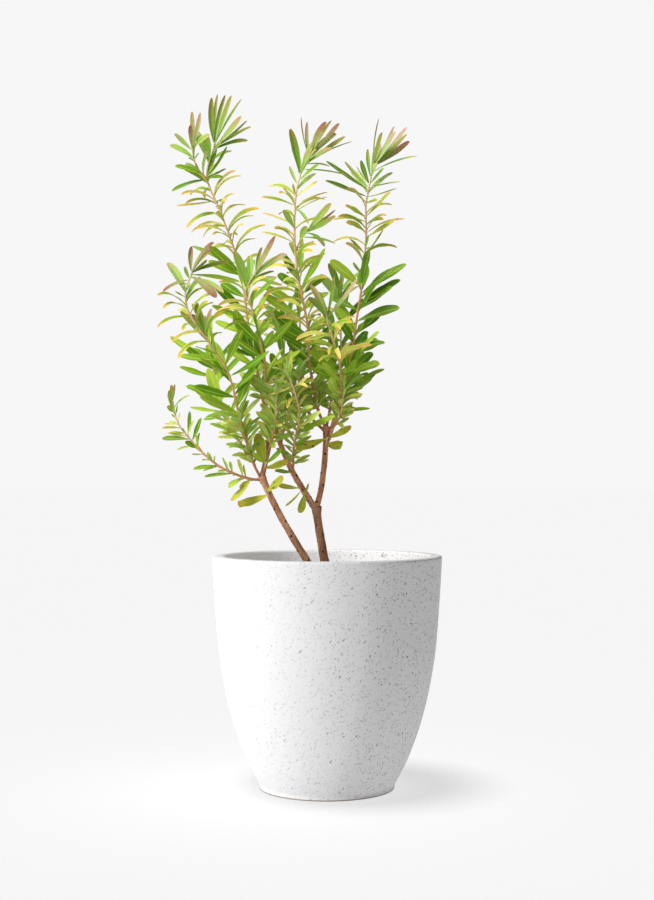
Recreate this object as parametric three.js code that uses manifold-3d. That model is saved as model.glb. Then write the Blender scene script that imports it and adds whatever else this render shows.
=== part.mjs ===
// A young oleander-leaf protea with two stems, about 0.6 m of plant in a round speckled planter.
// Sizes are in millimetres and angles in degrees. +Z is up, +X is right and -Y is the front.
// The origin is the centre of the planter's flat underside.

import * as THREE from "three";
import { mergeVertices } from "three/addons/utils/BufferGeometryUtils.js";
import Module from "manifold-3d";

const wasm = await Module();
wasm.setup();

// Driving dimensions of the planter and its soil
const POT_HEIGHT = 304;
const POT_RIM_RADIUS = 150.8;
const POT_FOOT_RADIUS = 88.7;
const POT_FOOT_HEIGHT = 5;
const POT_WALL = 16;
const POT_FLOOR = 22;
const POT_EDGE_ROUND = 3;
// The inside wall ends this far above the floor and slopes in by the second value
const POT_INNER_CORNER = [12, 8];
const POT_SIDES = 36;
// The belly of the planter, as radius and height between the foot and the rim
const POT_BELLY = [
  [108.4, 44],
  [127.5, 101],
  [141, 170],
  [147.2, 240],
];
const SOIL_TOP = 264;
const GAP = 0.3;
// Corners of a solid that lie closer than this are one
const MERGE_WITHIN = 0.001;

// Driving dimensions of the wood
const LIMB_SIDES = 8;
const LIMB_STEP = 13;
const TWIG_SIDES = 4;
const TWIG_STEP = 30;
const FLARE_HEIGHT = 11;
const HEAD_REACH = 9;

// The light that the blades turn their faces to, and how far they turn
const LIGHT = new THREE.Vector3(-0.3, -0.85, 0.42).normalize();
const TURN_TO_LIGHT = 0.74;
const DIVERGENCE = 137.5;
const TURN_JITTER = 32;
const LEAN_JITTER = 22;
const WIDTH_JITTER = 0.3;
const SPACING_JITTER = 0.5;
const MARKED_BOW = 0.16;
const BLADE_STEPS = 8;
const WIDEST_STEP = 5;
const BLADE_THICKNESS = 1.4;
const BLADE_ROOT_SHARE = 0.16;
const ROOT_SINK = 1.2;
const CLEARANCE = 0.5;
const STEM_SPOT_STEP = 4;
// A blade's last spot stands this share of the way along it, so that it covers the tip
const SPOT_SHARE = 0.92;
// A blade that would touch a neighbour is tried again, turned and shortened as these rows say
const TRIES = [
  [0, 1],
  [16, 1],
  [-16, 1],
  [32, 0.95],
  [-32, 0.95],
  [48, 0.9],
  [-48, 0.9],
  [8, 0.75],
  [-8, 0.6],
];
// Leaves of one mass may lie closer together, the marked ones closest, and near their roots they may touch
const OWN_CLOSENESS = 0.62;
const MARKED_CLOSENESS = 0.3;
const OWN_FREE_STEPS = 2;

// The kinds of leaf: length from and to, width as a share of it, the angles from the stem at root and
// tip, the distance along the stem to the next leaf, and the half width at the end as a share. A dark
// leaf is a mature one in a deeper green, and only marked leaves are of that kind.
const LEAF_KINDS = {
  small: { length: [23, 41], width: 0.22, rootAngle: 50, tipAngle: 62, spacing: 5.6, end: 0 },
  mature: { length: [46, 64], width: 0.25, rootAngle: 56, tipAngle: 46, spacing: 10.5, end: 0.5 },
  dark: { length: [46, 64], width: 0.25, rootAngle: 56, tipAngle: 46, spacing: 10.5, end: 0.5 },
  edged: { length: [40, 60], width: 0.14, rootAngle: 38, tipAngle: 106, spacing: 6.6, end: 0 },
  young: { length: [36, 54], width: 0.21, rootAngle: 32, tipAngle: 56, spacing: 4.8, end: 0 },
  tip: { length: [46, 64], width: 0.2, rootAngle: 12, tipAngle: 34, spacing: 2.1, end: 0 },
  old: { length: [30, 40], width: 0.32, rootAngle: 70, tipAngle: 80, spacing: 9, end: 0.5 },
  cut: { length: [20, 30], width: 0.4, rootAngle: 70, tipAngle: 80, spacing: 9, end: 0.9 },
};

// Limbs: the route of the middle, the radius at both ends, and the swelling of the head
const LIMBS = {
  trunk: {
    route: [[3, 8, 264.3], [-3, 8, 295], [-9, 7, 330], [-13, 6, 356], [-14, 5, 368]],
    radii: [5.8, 5.2],
    swelling: 1.6,
    flare: 5,
  },
  limb_right: {
    route: [[-14, 5, 366], [-8, 9, 390], [-4, 13, 419], [-2, 17, 444], [-1, 19, 474]],
    radii: [3.9, 3.6],
    swelling: 1.7,
    flare: 0,
  },
  limb_left: {
    route: [[-15, 4, 364], [-32, 0, 391], [-47, -4, 417], [-58, -7, 442], [-69, -10, 471]],
    radii: [4.4, 3],
    swelling: 0.4,
    flare: 0,
  },
  stem_left: {
    route: [[-6, -15, 264.3], [-25, -14, 296], [-48, -20, 334], [-67, -25, 369], [-85, -30, 408]],
    radii: [4.9, 3.9],
    swelling: 1.7,
    flare: 3.5,
  },
  bough_left: {
    route: [[-84, -30, 410], [-77, -28, 440], [-76, -26, 466], [-78, -25, 491]],
    radii: [2.9, 2.7],
    swelling: 0.6,
    flare: 0,
  },
  bough_right: {
    route: [[-1, 18, 451], [4, 17, 463], [11, 14, 485]],
    radii: [3, 2.9],
    swelling: 0.5,
    flare: 0,
  },
};

// Masses of foliage. Each has a stem with its route, its radius at both ends, the share of its length
// where the leaves begin, its seed, its zones of leaf kinds by share of length, and its side twigs.
// A zone may also say how many times farther apart its leaves stand.
// A marked leaf has the height of its root, its tip, its width, its kind and perhaps its own bow, which
// is below 0 where the leaf arches.
const MASSES = {
  foliage_low_left: {
    route: [[-84, -31, 403], [-102, -36, 405], [-130, -44, 416], [-152, -48, 431], [-175, -52, 455],
      [-191, -56, 478], [-197, -60, 504]],
    radii: [1.9, 0.8],
    leafFrom: 0.12,
    seed: 11,
    zones: [[0.5, "small", 4], [0.82, "small", 5], [1, "tip", 20]],
    size: 0.7,
    marked: [
      [503, [-197, -64, 524], 8, "tip"],
      [503, [-194, -56, 525], 5, "tip"],
      [494, [-175, -61, 511], 4, "young", -0.3],
      [489, [-203, -64, 497], 8, "small"],
      [500, [-203, -59, 512], 3, "small"],
      [485, [-190, -63, 498], 4, "small"],
      [481, [-198, -58, 487], 3, "small"],
      [474, [-207, -57, 475], 3, "edged"],
      [469, [-210, -60, 469], 5, "edged", -0.05],
      [477, [-187, -64, 488], 4, "edged"],
      [458, [-176, -50, 491], 7, "dark"],
      [452, [-161, -59, 482], 9, "mature", 0.1],
      [443, [-166, -66, 462], 8, "mature"],
      [454, [-210, -60, 456], 8, "dark", -0.1],
      [444, [-180, -64, 451], 11, "mature", 0.1],
      [459, [-201, -55, 463], 4, "small"],
      [462, [-184, -61, 469], 5, "small"],
      [436, [-173, -53, 436], 3, "small"],
      [427, [-152, -55, 439], 7, "small"],
      [425, [-143, -53, 434], 4, "small"],
      [421, [-171, -54, 417], 7, "mature", -0.08],
      [415, [-134, -45, 432], 3, "small"],
      [412, [-124, -50, 427], 6, "small"],
      [411, [-157, -49, 407], 7, "mature", -0.1],
      [407, [-114, -46, 430], 6, "small"],
      [407, [-126, -51, 393], 9, "mature", -0.05],
      [404, [-122, -56, 377], 13, "old"],
      [404, [-113, -36, 393], 9, "old"],
    ],
    side: [],
  },
  foliage_front_left: {
    route: [[-87, -32, 408], [-95, -38, 426], [-110, -52, 476], [-124, -68, 536], [-144, -78, 570],
      [-170, -88, 608], [-177, -92, 633], [-169, -95, 662]],
    radii: [1.8, 0.8],
    leafFrom: 0.06,
    seed: 23,
    zones: [[0.3, "small"], [0.62, "mature"], [0.86, "edged"], [0.94, "young", 5], [1, "tip", 20]],
    size: 1,
    marked: [
      [534, [-73, -104, 564], 12, "mature"],
      [661, [-169, -95, 695], 7, "tip"],
      [661, [-145, -89, 692], 8, "tip", -0.16],
      [661, [-149, -101, 677], 7, "tip"],
      [661, [-121, -103, 674], 10, "tip", -0.12],
      [659, [-109, -87, 652], 9, "mature", -0.06],
      [657, [-136, -121, 628], 11, "tip", -0.2],
      [656, [-128, -108, 636], 10, "young", -0.16],
      [653, [-205, -98, 638], 8, "tip", -0.22],
      [654, [-177, -100, 669], 5, "young"],
      [648, [-183, -98, 645], 5, "young", -0.1],
      [639, [-170, -103, 647], 9, "young"],
      [632, [-190, -92, 639], 3, "edged"],
    ],
    side: [
      {
        route: [[-97, -39, 431], [-104, -30, 437], [-126, -8, 474], [-143, 12, 510], [-151, 26, 552],
          [-161, 35, 597]],
        radii: [1.9, 0.8],
        leafFrom: 0.14,
        seed: 37,
        zones: [[0.35, "small"], [0.9, "mature"], [1, "tip"]],
        size: 0.95,
        marked: [
          [539, [-194, 8, 553], 11, "mature"],
          [549, [-183, -8, 577], 13, "mature"],
          [560, [-210, 38, 596], 11, "mature"],
          [515, [-161, -14, 523], 10, "mature"],
          [493, [-179, -8, 498], 8, "mature"],
        ],
      },
    ],
  },
  foliage_mid_left: {
    route: [[-78, -27, 489], [-79, -38, 540], [-83, -46, 570], [-95, -55, 619], [-104, -58, 642],
      [-91, -60, 668]],
    radii: [1.8, 0.8],
    leafFrom: 0.1,
    seed: 41,
    zones: [[0.2, "small"], [0.5, "mature"], [0.85, "edged"], [0.93, "young"], [1, "tip"]],
    size: 1,
    marked: [
      [664, [-58, -74, 690], 8, "tip"],
      [668, [-83, -56, 700], 5, "tip"],
      [665, [-56, -92, 647], 6, "tip"],
      [548, [-34, -66, 567], 11, "mature"],
    ],
    side: [],
  },
  foliage_tall_left: {
    route: [[-79, -23, 489], [-89, -6, 531], [-103, 14, 599], [-115, 30, 679], [-135, 36, 741],
      [-156, 38, 792], [-161, 38, 815], [-150, 36, 853]],
    radii: [2.1, 0.9],
    leafFrom: 0.05,
    seed: 53,
    zones: [[0.12, "small"], [0.52, "mature"], [0.84, "edged"], [0.95, "young", 5], [1, "tip", 20]],
    size: 1,
    marked: [
      [618, [-151, -6, 631], 12, "mature"],
      [565, [-125, -20, 576], 11, "mature"],
      [777, [-200, 20, 768], 5, "edged"],
      [805, [-206, 20, 786], 12, "dark", -0.2],
      [826, [-159, 17, 861], 15, "young", -0.05],
      [811, [-148, 34, 846], 11, "dark"],
      [810, [-135, 36, 850], 7, "mature", 0.26],
      [808, [-136, 44, 822], 7, "dark"],
      [806, [-139, 26, 806], 8, "mature", -0.2],
      [850, [-154, 32, 914], 8, "tip"],
      [851, [-147, 44, 922], 5, "tip"],
      [851, [-136, 34, 918], 6, "tip"],
      [851, [-127, 22, 914], 11, "tip"],
      [851, [-115, 46, 916], 5, "tip", -0.08],
      [847, [-113, 12, 884], 14, "tip"],
      [847, [-107, 40, 885], 6, "tip"],
      [846, [-101, 28, 874], 10, "tip", -0.04],
      [844, [-105, 17, 853], 10, "tip", -0.14],
      [836, [-139, 24, 855], 6, "young"],
      [681, [-182, 44, 719], 7, "dark", -0.1],
    ],
    side: [
      {
        route: [[-160, 38, 804], [-174, 25, 821], [-179, 14, 842]],
        radii: [1.1, 0.7],
        leafFrom: 0.15,
        seed: 59,
        zones: [[0.75, "young", 5], [1, "tip", 20]],
        size: 0.8,
        marked: [
          [839, [-180, 3, 870], 9, "tip"],
          [839, [-179, 15, 891], 7, "tip"],
          [840, [-167, 9, 888], 8, "tip"],
          [842, [-168, 12, 859], 6, "young"],
          [839, [-201, 8, 860], 8, "young", 0.1],
          [840, [-154, 1, 857], 11, "young", -0.12],
          [810, [-202, 21, 820], 10, "mature", -0.14],
          [814, [-174, 16, 821], 9, "young", -0.2],
          [826, [-184, 18, 830], 4, "young", -0.1],
          [828, [-170, 15, 836], 4, "young"],
        ],
      },
    ],
  },
  foliage_back_left: {
    route: [[-82, -27, 410], [-73, 10, 456], [-61, 60, 525], [-58, 95, 623]],
    radii: [2.2, 0.9],
    leafFrom: 0.2,
    seed: 61,
    zones: [[0.4, "small"], [0.8, "mature"], [1, "young"]],
    size: 0.95,
    marked: [],
    side: [],
  },
  foliage_low_front: {
    route: [[-77, -29, 437], [-72, -43, 451], [-66, -57, 478], [-64, -66, 510]],
    radii: [1.6, 0.8],
    leafFrom: 0.2,
    seed: 173,
    zones: [[0.9, "small"], [1, "young"]],
    size: 0.9,
    marked: [],
    side: [],
  },
  foliage_inner_left: {
    route: [[-60, -7, 452], [-55, 0, 474], [-46, 12, 495], [-38, 40, 537]],
    radii: [1.8, 0.8],
    leafFrom: 0.2,
    seed: 71,
    zones: [[0.4, "small"], [0.9, "mature"], [1, "young"]],
    size: 0.85,
    marked: [],
    side: [
      {
        route: [[-51, 4, 484], [-62, 22, 505], [-68, 34, 540]],
        radii: [1.3, 0.8],
        leafFrom: 0.2,
        seed: 73,
        zones: [[0.9, "small"], [1, "young"]],
        size: 0.85,
      },
      {
        route: [[-47, 10, 493], [-38, 2, 512], [-36, -8, 545]],
        radii: [1.2, 0.8],
        leafFrom: 0.2,
        seed: 79,
        zones: [[0.9, "small"], [1, "young"]],
        size: 0.8,
      },
    ],
  },
  foliage_front_shoot: {
    route: [[-42, -3, 408], [-44, -20, 421], [-42, -38, 449], [-35, -54, 485], [-41, -66, 514],
      [-49, -75, 537]],
    radii: [1.7, 0.8],
    leafFrom: 0.16,
    seed: 83,
    zones: [[0.66, "small"], [0.92, "edged"], [1, "young"]],
    size: 0.72,
    marked: [
      [471, [-8, -80, 489], 12, "small"],
      [468, [10, -64, 485], 12, "mature"],
      [458, [-21, -66, 464], 9, "small"],
      [520, [-24, -82, 534], 5, "edged"],
      [521, [-72, -80, 511], 5, "edged"],
      [532, [-45, -78, 559], 5, "edged"],
      [529, [-62, -86, 549], 5, "edged"],
      [448, [-20, -60, 459], 8, "small"],
      [459, [-57, -60, 472], 6, "small"],
      [434, [-65, -52, 443], 8, "small"],
      [426, [-23, -40, 429], 6, "small"],
      [413, [-67, -34, 415], 8, "mature"],
    ],
    side: [],
  },
  foliage_tall_centre: {
    route: [[-2, 18, 472], [-13, 13, 500], [-23, 2, 557], [-25, -3, 603], [-40, -8, 685],
      [-42, -10, 757], [-35, -10, 801], [-20, -8, 828]],
    radii: [2.1, 0.9],
    leafFrom: 0.07,
    seed: 97,
    zones: [[0.16, "small"], [0.33, "mature"], [0.6, "edged"], [0.85, "edged", 2.5], [0.95, "young", 5],
      [1, "tip", 20]],
    size: 1,
    marked: [
      [576, [-64, -22, 595], 12, "mature"],
      [592, [-67, 10, 620], 13, "mature"],
      [799, [-48, -20, 860], 10, "tip", -0.1],
      [804, [-17, -14, 845], 11, "young", -0.28],
      [823, [-26, 0, 874], 5, "tip"],
      [823, [-34, -4, 879], 2, "tip"],
      [823, [-1, -24, 868], 14, "tip"],
      [823, [6, -2, 875], 5, "tip"],
      [823, [16, -12, 869], 11, "tip"],
      [820, [24, -17, 850], 11, "tip"],
      [820, [33, -5, 847], 3, "tip", -0.1],
      [816, [6, -35, 830], 14, "tip", -0.08],
      [807, [-22, -20, 833], 9, "tip"],
      [795, [-12, -32, 811], 11, "mature"],
      [788, [-49, -10, 813], 5, "young", 0.08],
      [816, [4, -7, 814], 4, "young", -0.2],
      [809, [27, -6, 803], 4, "young", -0.1],
      [773, [-13, -24, 791], 8, "edged", 0.06],
      [774, [-44, -18, 789], 4, "edged"],
      [768, [-57, -14, 784], 4, "edged", 0.1],
      [758, [1, -8, 780], 4, "edged", -0.2],
      [753, [0, -16, 773], 3, "edged", -0.15],
      [761, [-85, -16, 772], 6, "edged", -0.14],
      [736, [-85, -8, 753], 4, "edged", -0.08],
      [758, [-24, -26, 735], 5, "young", -0.28],
      [731, [-57, -29, 752], 9, "young", -0.1],
      [722, [-69, -19, 731], 8, "edged", -0.3],
      [712, [-85, -9, 728], 4, "edged", -0.16],
    ],
    side: [
      {
        route: [[-40, -9, 703], [-36, -14, 713], [-27, -20, 725]],
        radii: [1, 0.7],
        leafFrom: 0.3,
        seed: 101,
        zones: [[1, "tip", 8]],
        size: 0.9,
        marked: [
          [714, [-26, -23, 732], 10, "young"],
          [725, [5, -26, 762], 11, "tip"],
          [725, [11, -34, 744], 12, "tip"],
          [725, [11, -16, 755], 5, "tip"],
          [719, [11, -25, 710], 5, "young", -0.16],
          [706, [-17, -14, 714], 5, "edged"],
          [724, [-3, -34, 704], 6, "tip", -0.5],
        ],
      },
    ],
  },
  foliage_inner_centre: {
    route: [[-3, 20, 467], [-25, 36, 495], [-34, 56, 561], [-38, 66, 654], [-35, 70, 689]],
    radii: [2.2, 0.9],
    leafFrom: 0.15,
    seed: 107,
    zones: [[0.25, "small"], [0.96, "mature"], [1, "young"]],
    size: 1,
    marked: [
      [591, [-71, 48, 632], 13, "mature"],
      [661, [-3, 52, 716], 11, "mature"],
    ],
    side: [
      {
        route: [[-28, 39, 493], [-12, 34, 516], [-2, 24, 552]],
        radii: [1.4, 0.8],
        leafFrom: 0.2,
        seed: 109,
        zones: [[0.4, "small"], [0.9, "mature"], [1, "young"]],
        size: 0.8,
      },
    ],
  },
  foliage_back: {
    route: [[-1, 22, 471], [7, 60, 516], [12, 92, 568], [11, 110, 611]],
    radii: [2.1, 0.9],
    leafFrom: 0.2,
    seed: 113,
    zones: [[0.35, "small"], [0.85, "mature"], [1, "young"]],
    size: 0.95,
    marked: [],
    side: [],
  },
  foliage_front_right: {
    route: [[11, 13, 484], [18, -12, 524], [16, -30, 554], [4, -50, 594], [-1, -58, 611]],
    radii: [2, 0.9],
    leafFrom: 0.12,
    seed: 127,
    zones: [[0.15, "small"], [0.5, "mature"], [0.88, "edged"], [1, "tip"]],
    size: 0.95,
    marked: [
      [609, [9, -64, 662], 6, "tip"],
      [609, [39, -46, 661], 8, "tip"],
      [601, [-30, -76, 611], 6, "edged"],
      [592, [-28, -84, 580], 8, "edged"],
      [576, [-33, -58, 580], 6, "edged"],
      [540, [-23, -46, 568], 13, "mature"],
      [539, [36, -38, 548], 10, "mature"],
      [523, [42, -20, 534], 10, "mature"],
      [524, [1, -30, 532], 9, "mature"],
      [505, [0, -14, 522], 8, "small"],
    ],
    side: [],
  },
  foliage_tall_right: {
    route: [[11, 15, 484], [26, 32, 519], [34, 46, 575], [40, 52, 619], [48, 56, 673], [53, 58, 734],
      [53, 57, 776], [63, 54, 827]],
    radii: [2.1, 0.9],
    leafFrom: 0.05,
    seed: 131,
    zones: [[0.12, "small"], [0.36, "mature"], [0.6, "mature", 2.6], [0.86, "edged", 2.5],
      [0.95, "young", 5], [1, "tip", 20]],
    size: 1,
    marked: [
      [494, [57, 30, 499], 4, "mature"],
      [826, [70, 52, 891], 2, "tip"],
      [827, [74, 46, 871], 10, "tip"],
      [827, [91, 30, 868], 16, "tip"],
      [827, [91, 60, 883], 6, "tip"],
      [827, [108, 52, 880], 11, "tip"],
      [827, [107, 42, 868], 11, "tip"],
      [826, [112, 66, 864], 12, "tip"],
      [819, [121, 34, 837], 5, "young", -0.18],
      [810, [55, 45, 848], 6, "young"],
      [814, [68, 43, 829], 10, "young"],
      [803, [75, 38, 821], 9, "dark"],
      [802, [46, 50, 834], 7, "dark"],
      [797, [24, 44, 831], 6, "young", 0.1],
      [794, [0, 32, 830], 8, "dark", 0.06],
      [785, [-1, 21, 802], 10, "dark", 0.06],
      [797, [99, 44, 804], 4, "young", -0.08],
      [785, [94, 53, 798], 3, "edged"],
      [777, [67, 41, 779], 8, "edged"],
      [777, [37, 51, 794], 4, "edged", 0.1],
      [802, [40, 60, 828], 2, "young"],
      [758, [25, 48, 773], 10, "edged", -0.05],
      [752, [9, 52, 755], 7, "edged", -0.24],
      [736, [26, 42, 749], 10, "edged", -0.36],
      [759, [85, 48, 791], 10, "edged", 0.1],
      [748, [76, 44, 753], 8, "edged", -0.4],
      [737, [105, 54, 757], 4, "edged", -0.3],
      [731, [91, 42, 754], 8, "edged", 0.1],
      [716, [56, 42, 731], 8, "mature"],
      [708, [75, 53, 742], 5, "edged", 0.25],
      [708, [31, 51, 728], 5, "edged", -0.05],
      [646, [88, 32, 686], 18, "dark", -0.04],
      [653, [107, 53, 695], 16, "dark", -0.04],
      [638, [99, 40, 671], 16, "dark", -0.06],
      [616, [97, 32, 633], 19, "dark", -0.1],
      [665, [56, 32, 710], 17, "dark", -0.04],
      [664, [5, 45, 699], 16, "mature", 0.05],
      [596, [49, 34, 612], 14, "dark"],
      [583, [68, 40, 591], 11, "dark", -0.1],
      [576, [77, 30, 587], 11, "dark", -0.1],
      [630, [4, 65, 651], 12, "dark", -0.08],
      [591, [26, 43, 610], 7, "dark"],
      [680, [35, 50, 696], 5, "young"],
      [545, [70, 23, 558], 17, "mature", -0.06],
      [527, [77, 29, 551], 11, "mature", -0.05],
      [510, [60, 15, 538], 12, "dark", -0.05],
      [493, [57, 10, 497], 7, "mature", -0.05],
    ],
    side: [],
  },
  foliage_back_right: {
    route: [[12, 16, 484], [18, 50, 531], [19, 78, 594], [18, 92, 664]],
    radii: [2.1, 0.9],
    leafFrom: 0.15,
    seed: 139,
    zones: [[0.25, "small"], [0.8, "mature"], [1, "young"]],
    size: 1,
    marked: [],
    side: [],
  },
  foliage_old_head: {
    route: [[-82, -30, 415], [-80, -38, 420], [-78, -46, 425]],
    radii: [1.3, 1],
    leafFrom: 1,
    seed: 163,
    zones: [[1, "old"]],
    size: 1,
    marked: [
      [418, [-50, -56, 427], 11, "old"],
      [423, [-90, -40, 463], 15, "old"],
      [424, [-95, -62, 437], 8, "mature"],
      [424, [-58, -66, 441], 9, "mature"],
    ],
    side: [],
  },
  foliage_old_left: {
    route: [[-72, -26, 379], [-75, -34, 384], [-78, -41, 389]],
    radii: [1.4, 1.1],
    leafFrom: 1,
    seed: 149,
    zones: [[1, "old"]],
    size: 1,
    marked: [
      [384, [-115, -36, 371], 13, "cut"],
      [388, [-56, -52, 407], 14, "old"],
    ],
    side: [],
  },
  foliage_old_fork: {
    route: [[-25, 0, 378], [-31, -7, 386], [-37, -13, 393]],
    radii: [1.2, 0.9],
    leafFrom: 1,
    seed: 151,
    zones: [[1, "old"]],
    size: 1,
    marked: [
      [392, [-66, -18, 397], 8, "old"],
      [389, [-54, -24, 369], 4, "old"],
      [384, [-35, -20, 360], 11, "old"],
      [384, [-24, -20, 398], 6, "old"],
    ],
    side: [],
  },
  foliage_low_right: {
    route: [[6, 15, 471], [13, 3, 478], [19, -12, 494], [22, -22, 520]],
    radii: [1.5, 0.8],
    leafFrom: 0.2,
    seed: 167,
    zones: [[0.9, "small"], [1, "young"]],
    size: 0.8,
    marked: [
      [475, [29, -4, 484], 6, "small"],
      [484, [34, -20, 490], 6, "small"],
    ],
    side: [],
  },
  foliage_old_right: {
    route: [[-2, 17, 446], [-1, 10, 452], [0, 3, 458]],
    radii: [1.3, 1],
    leafFrom: 1,
    seed: 157,
    zones: [[1, "old"]],
    size: 1,
    marked: [
      [450, [20, 2, 448], 15, "cut"],
      [457, [32, -6, 473], 11, "old"],
      [457, [-41, -2, 444], 13, "old"],
    ],
    side: [],
  },
};

const COLOURS = {
  pot: "#e9e8e6",
  soil: "#3d2e24",
  bark: "#86604a",
  leaf: "#6f9138",
};

// Numbers between 0 and 1 that come out the same on every run
function seededDraws(seed) {
  let state = seed;
  return () => {
    state = (state * 1664525 + 1013904223) % 4294967296;
    return state / 4294967296;
  };
}

function vector(place) {
  return new THREE.Vector3(place[0], place[1], place[2]);
}

// A smooth line through a route, with the length reached at each of its close points
function smoothLine(route) {
  const curve = new THREE.CatmullRomCurve3(route.map(vector), false, "catmullrom", 0.5);
  const points = curve.getPoints(16 * (route.length - 1));
  const reached = [0];
  for (let i = 1; i < points.length; i += 1) {
    reached.push(reached[i - 1] + points[i].distanceTo(points[i - 1]));
  }
  return { points, reached, length: reached[points.length - 1] };
}

function spanAt(line, distance) {
  let i = 1;
  while (i < line.points.length - 1 && line.reached[i] < distance) {
    i += 1;
  }
  return i;
}

function placeAt(line, distance) {
  const i = spanAt(line, distance);
  const share = (distance - line.reached[i - 1]) / (line.reached[i] - line.reached[i - 1]);
  return line.points[i - 1].clone().lerp(line.points[i], share);
}

function directionAt(line, distance) {
  const i = spanAt(line, distance);
  return line.points[i].clone().sub(line.points[i - 1]).normalize();
}

// The side of a stem that faces the front, square to its direction
function frontOf(direction) {
  const front = new THREE.Vector3(0, -1, 0);
  return front.addScaledVector(direction, -front.dot(direction)).normalize();
}

function geometryOf(points, faces) {
  const geometry = new THREE.BufferGeometry();
  const values = points.flatMap((p) => p.toArray());
  geometry.setAttribute("position", new THREE.Float32BufferAttribute(values, 3));
  geometry.setIndex(faces.flat());
  return geometry;
}

// A closed tube round a line, with its radius given at each distance along it. A level start is cut
// flat across Z, as at the ground.
function taperedTube(line, radiusAt, sides, step, levelStart) {
  const rings = Math.max(2, Math.ceil(line.length / step) + 1);
  const points = [];
  for (let i = 0; i < rings; i += 1) {
    const distance = (line.length * i) / (rings - 1);
    const centre = placeAt(line, distance);
    const direction = levelStart && i === 0 ? new THREE.Vector3(0, 0, 1) : directionAt(line, distance);
    const front = frontOf(direction);
    const across = direction.clone().cross(front);
    for (let j = 0; j < sides; j += 1) {
      const angle = (2 * Math.PI * j) / sides;
      const corner = centre.clone().addScaledVector(front, radiusAt(distance) * Math.cos(angle));
      points.push(corner.addScaledVector(across, radiusAt(distance) * Math.sin(angle)));
    }
  }
  const faces = [];
  for (let i = 0; i < rings - 1; i += 1) {
    for (let j = 0; j < sides; j += 1) {
      const a = i * sides + j;
      const b = i * sides + ((j + 1) % sides);
      faces.push([a, b, b + sides], [a, b + sides, a + sides]);
    }
  }
  for (let j = 1; j < sides - 1; j += 1) {
    const last = (rings - 1) * sides;
    faces.push([0, j + 1, j], [last, last + j, last + j + 1]);
  }
  return geometryOf(points, faces);
}

function solidOf(geometry) {
  const plain = geometry.clone();
  plain.deleteAttribute("normal");
  plain.deleteAttribute("uv");
  const merged = mergeVertices(plain, MERGE_WITHIN);
  return new wasm.Manifold(new wasm.Mesh({
    numProp: 3,
    vertProperties: new Float32Array(merged.attributes.position.array),
    triVerts: new Uint32Array(merged.index.array),
  }));
}

// The outer body of a solid: loose scraps are dropped and sealed hollows are filled. Merging its
// closest vertices can part it once more, so it is read back until it stays one.
function mainBody(solid) {
  const bodies = solid.decompose();
  bodies.sort((a, b) => b.volume() - a.volume());
  const mesh = bodies[0].getMesh();
  const geometry = new THREE.BufferGeometry();
  geometry.setAttribute("position", new THREE.Float32BufferAttribute(mesh.vertProperties, 3));
  geometry.setIndex(Array.from(mesh.triVerts));
  const readBack = solidOf(geometry);
  return readBack.decompose().length > 1 ? mainBody(readBack) : geometry;
}

// The radius along a limb: its taper, the flare at the root and the swelling of its head
function limbRadius(limb, line, extra) {
  return (distance) => {
    const taper = limb.radii[0] + ((limb.radii[1] - limb.radii[0]) * distance) / line.length;
    const flare = limb.flare * Math.exp(-distance / FLARE_HEIGHT);
    const fromHead = (line.length - distance) / HEAD_REACH;
    return taper + flare + limb.swelling * Math.exp(-fromHead * fromHead) + extra;
  };
}

function twigRadius(radii, line, extra) {
  return (distance) => radii[0] + ((radii[1] - radii[0]) * distance) / line.length + extra;
}

// Filled round spots that mark taken space, each with the name of the node that takes it
const takenSpots = [];

function markStem(owner, line, radiusAt) {
  for (let distance = 0; distance <= line.length; distance += STEM_SPOT_STEP) {
    const radius = Math.hypot(radiusAt(distance), STEM_SPOT_STEP / 2);
    takenSpots.push({ owner, place: placeAt(line, distance), radius, step: 0 });
  }
}

// The half width of a blade as a share of its widest, from its root at 0 to its tip at 1
function bladeShare(along) {
  const widest = WIDEST_STEP / BLADE_STEPS;
  if (along < widest) {
    return BLADE_ROOT_SHARE + (1 - BLADE_ROOT_SHARE) * Math.sin(((Math.PI / 2) * along) / widest) ** 1.4;
  }
  const beyond = (along - widest) / (1 - widest);
  return Math.sqrt(Math.max(0, 1 - beyond ** 2.2));
}

function spotsOf(owner, leaf) {
  const reach = leaf.length / BLADE_STEPS / 2;
  return leaf.middle.slice(1).map((place, i) => {
    const share = bladeShare(((i + 1) / BLADE_STEPS) * SPOT_SHARE);
    return { owner, place, radius: Math.hypot((leaf.width / 2) * share, reach), step: i + 1 };
  });
}

// Whether two spots are too close. Spots of one mass count only where both are well along a blade, and
// have to keep the given share of their room.
function tooClose(spot, taken, ownCloseness) {
  const room = spot.radius + taken.radius;
  if (spot.owner !== taken.owner) {
    return spot.place.distanceTo(taken.place) < room + CLEARANCE;
  }
  const free = spot.step < OWN_FREE_STEPS || taken.step < OWN_FREE_STEPS;
  return !free && spot.place.distanceTo(taken.place) < room * ownCloseness;
}

function isClear(spots, ownCloseness) {
  return !takenSpots.some((taken) => spots.some((spot) => tooClose(spot, taken, ownCloseness)));
}

// Keeps a leaf if its space is free, and marks that space as taken
function keepIfClear(owner, leaf, kept, ownCloseness) {
  const spots = spotsOf(owner, leaf);
  if (!isClear(spots, ownCloseness)) {
    return false;
  }
  takenSpots.push(...spots);
  kept.push(leaf);
  return true;
}

// The way a blade's upper face looks: its natural face, turned part of the way to the light
function upperFace(natural, along) {
  const toLight = LIGHT.clone().addScaledVector(along, -LIGHT.dot(along)).normalize();
  const face = natural.clone().multiplyScalar(1 - TURN_TO_LIGHT).addScaledVector(toLight, TURN_TO_LIGHT);
  return face.addScaledVector(along, -face.dot(along)).normalize();
}

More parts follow.
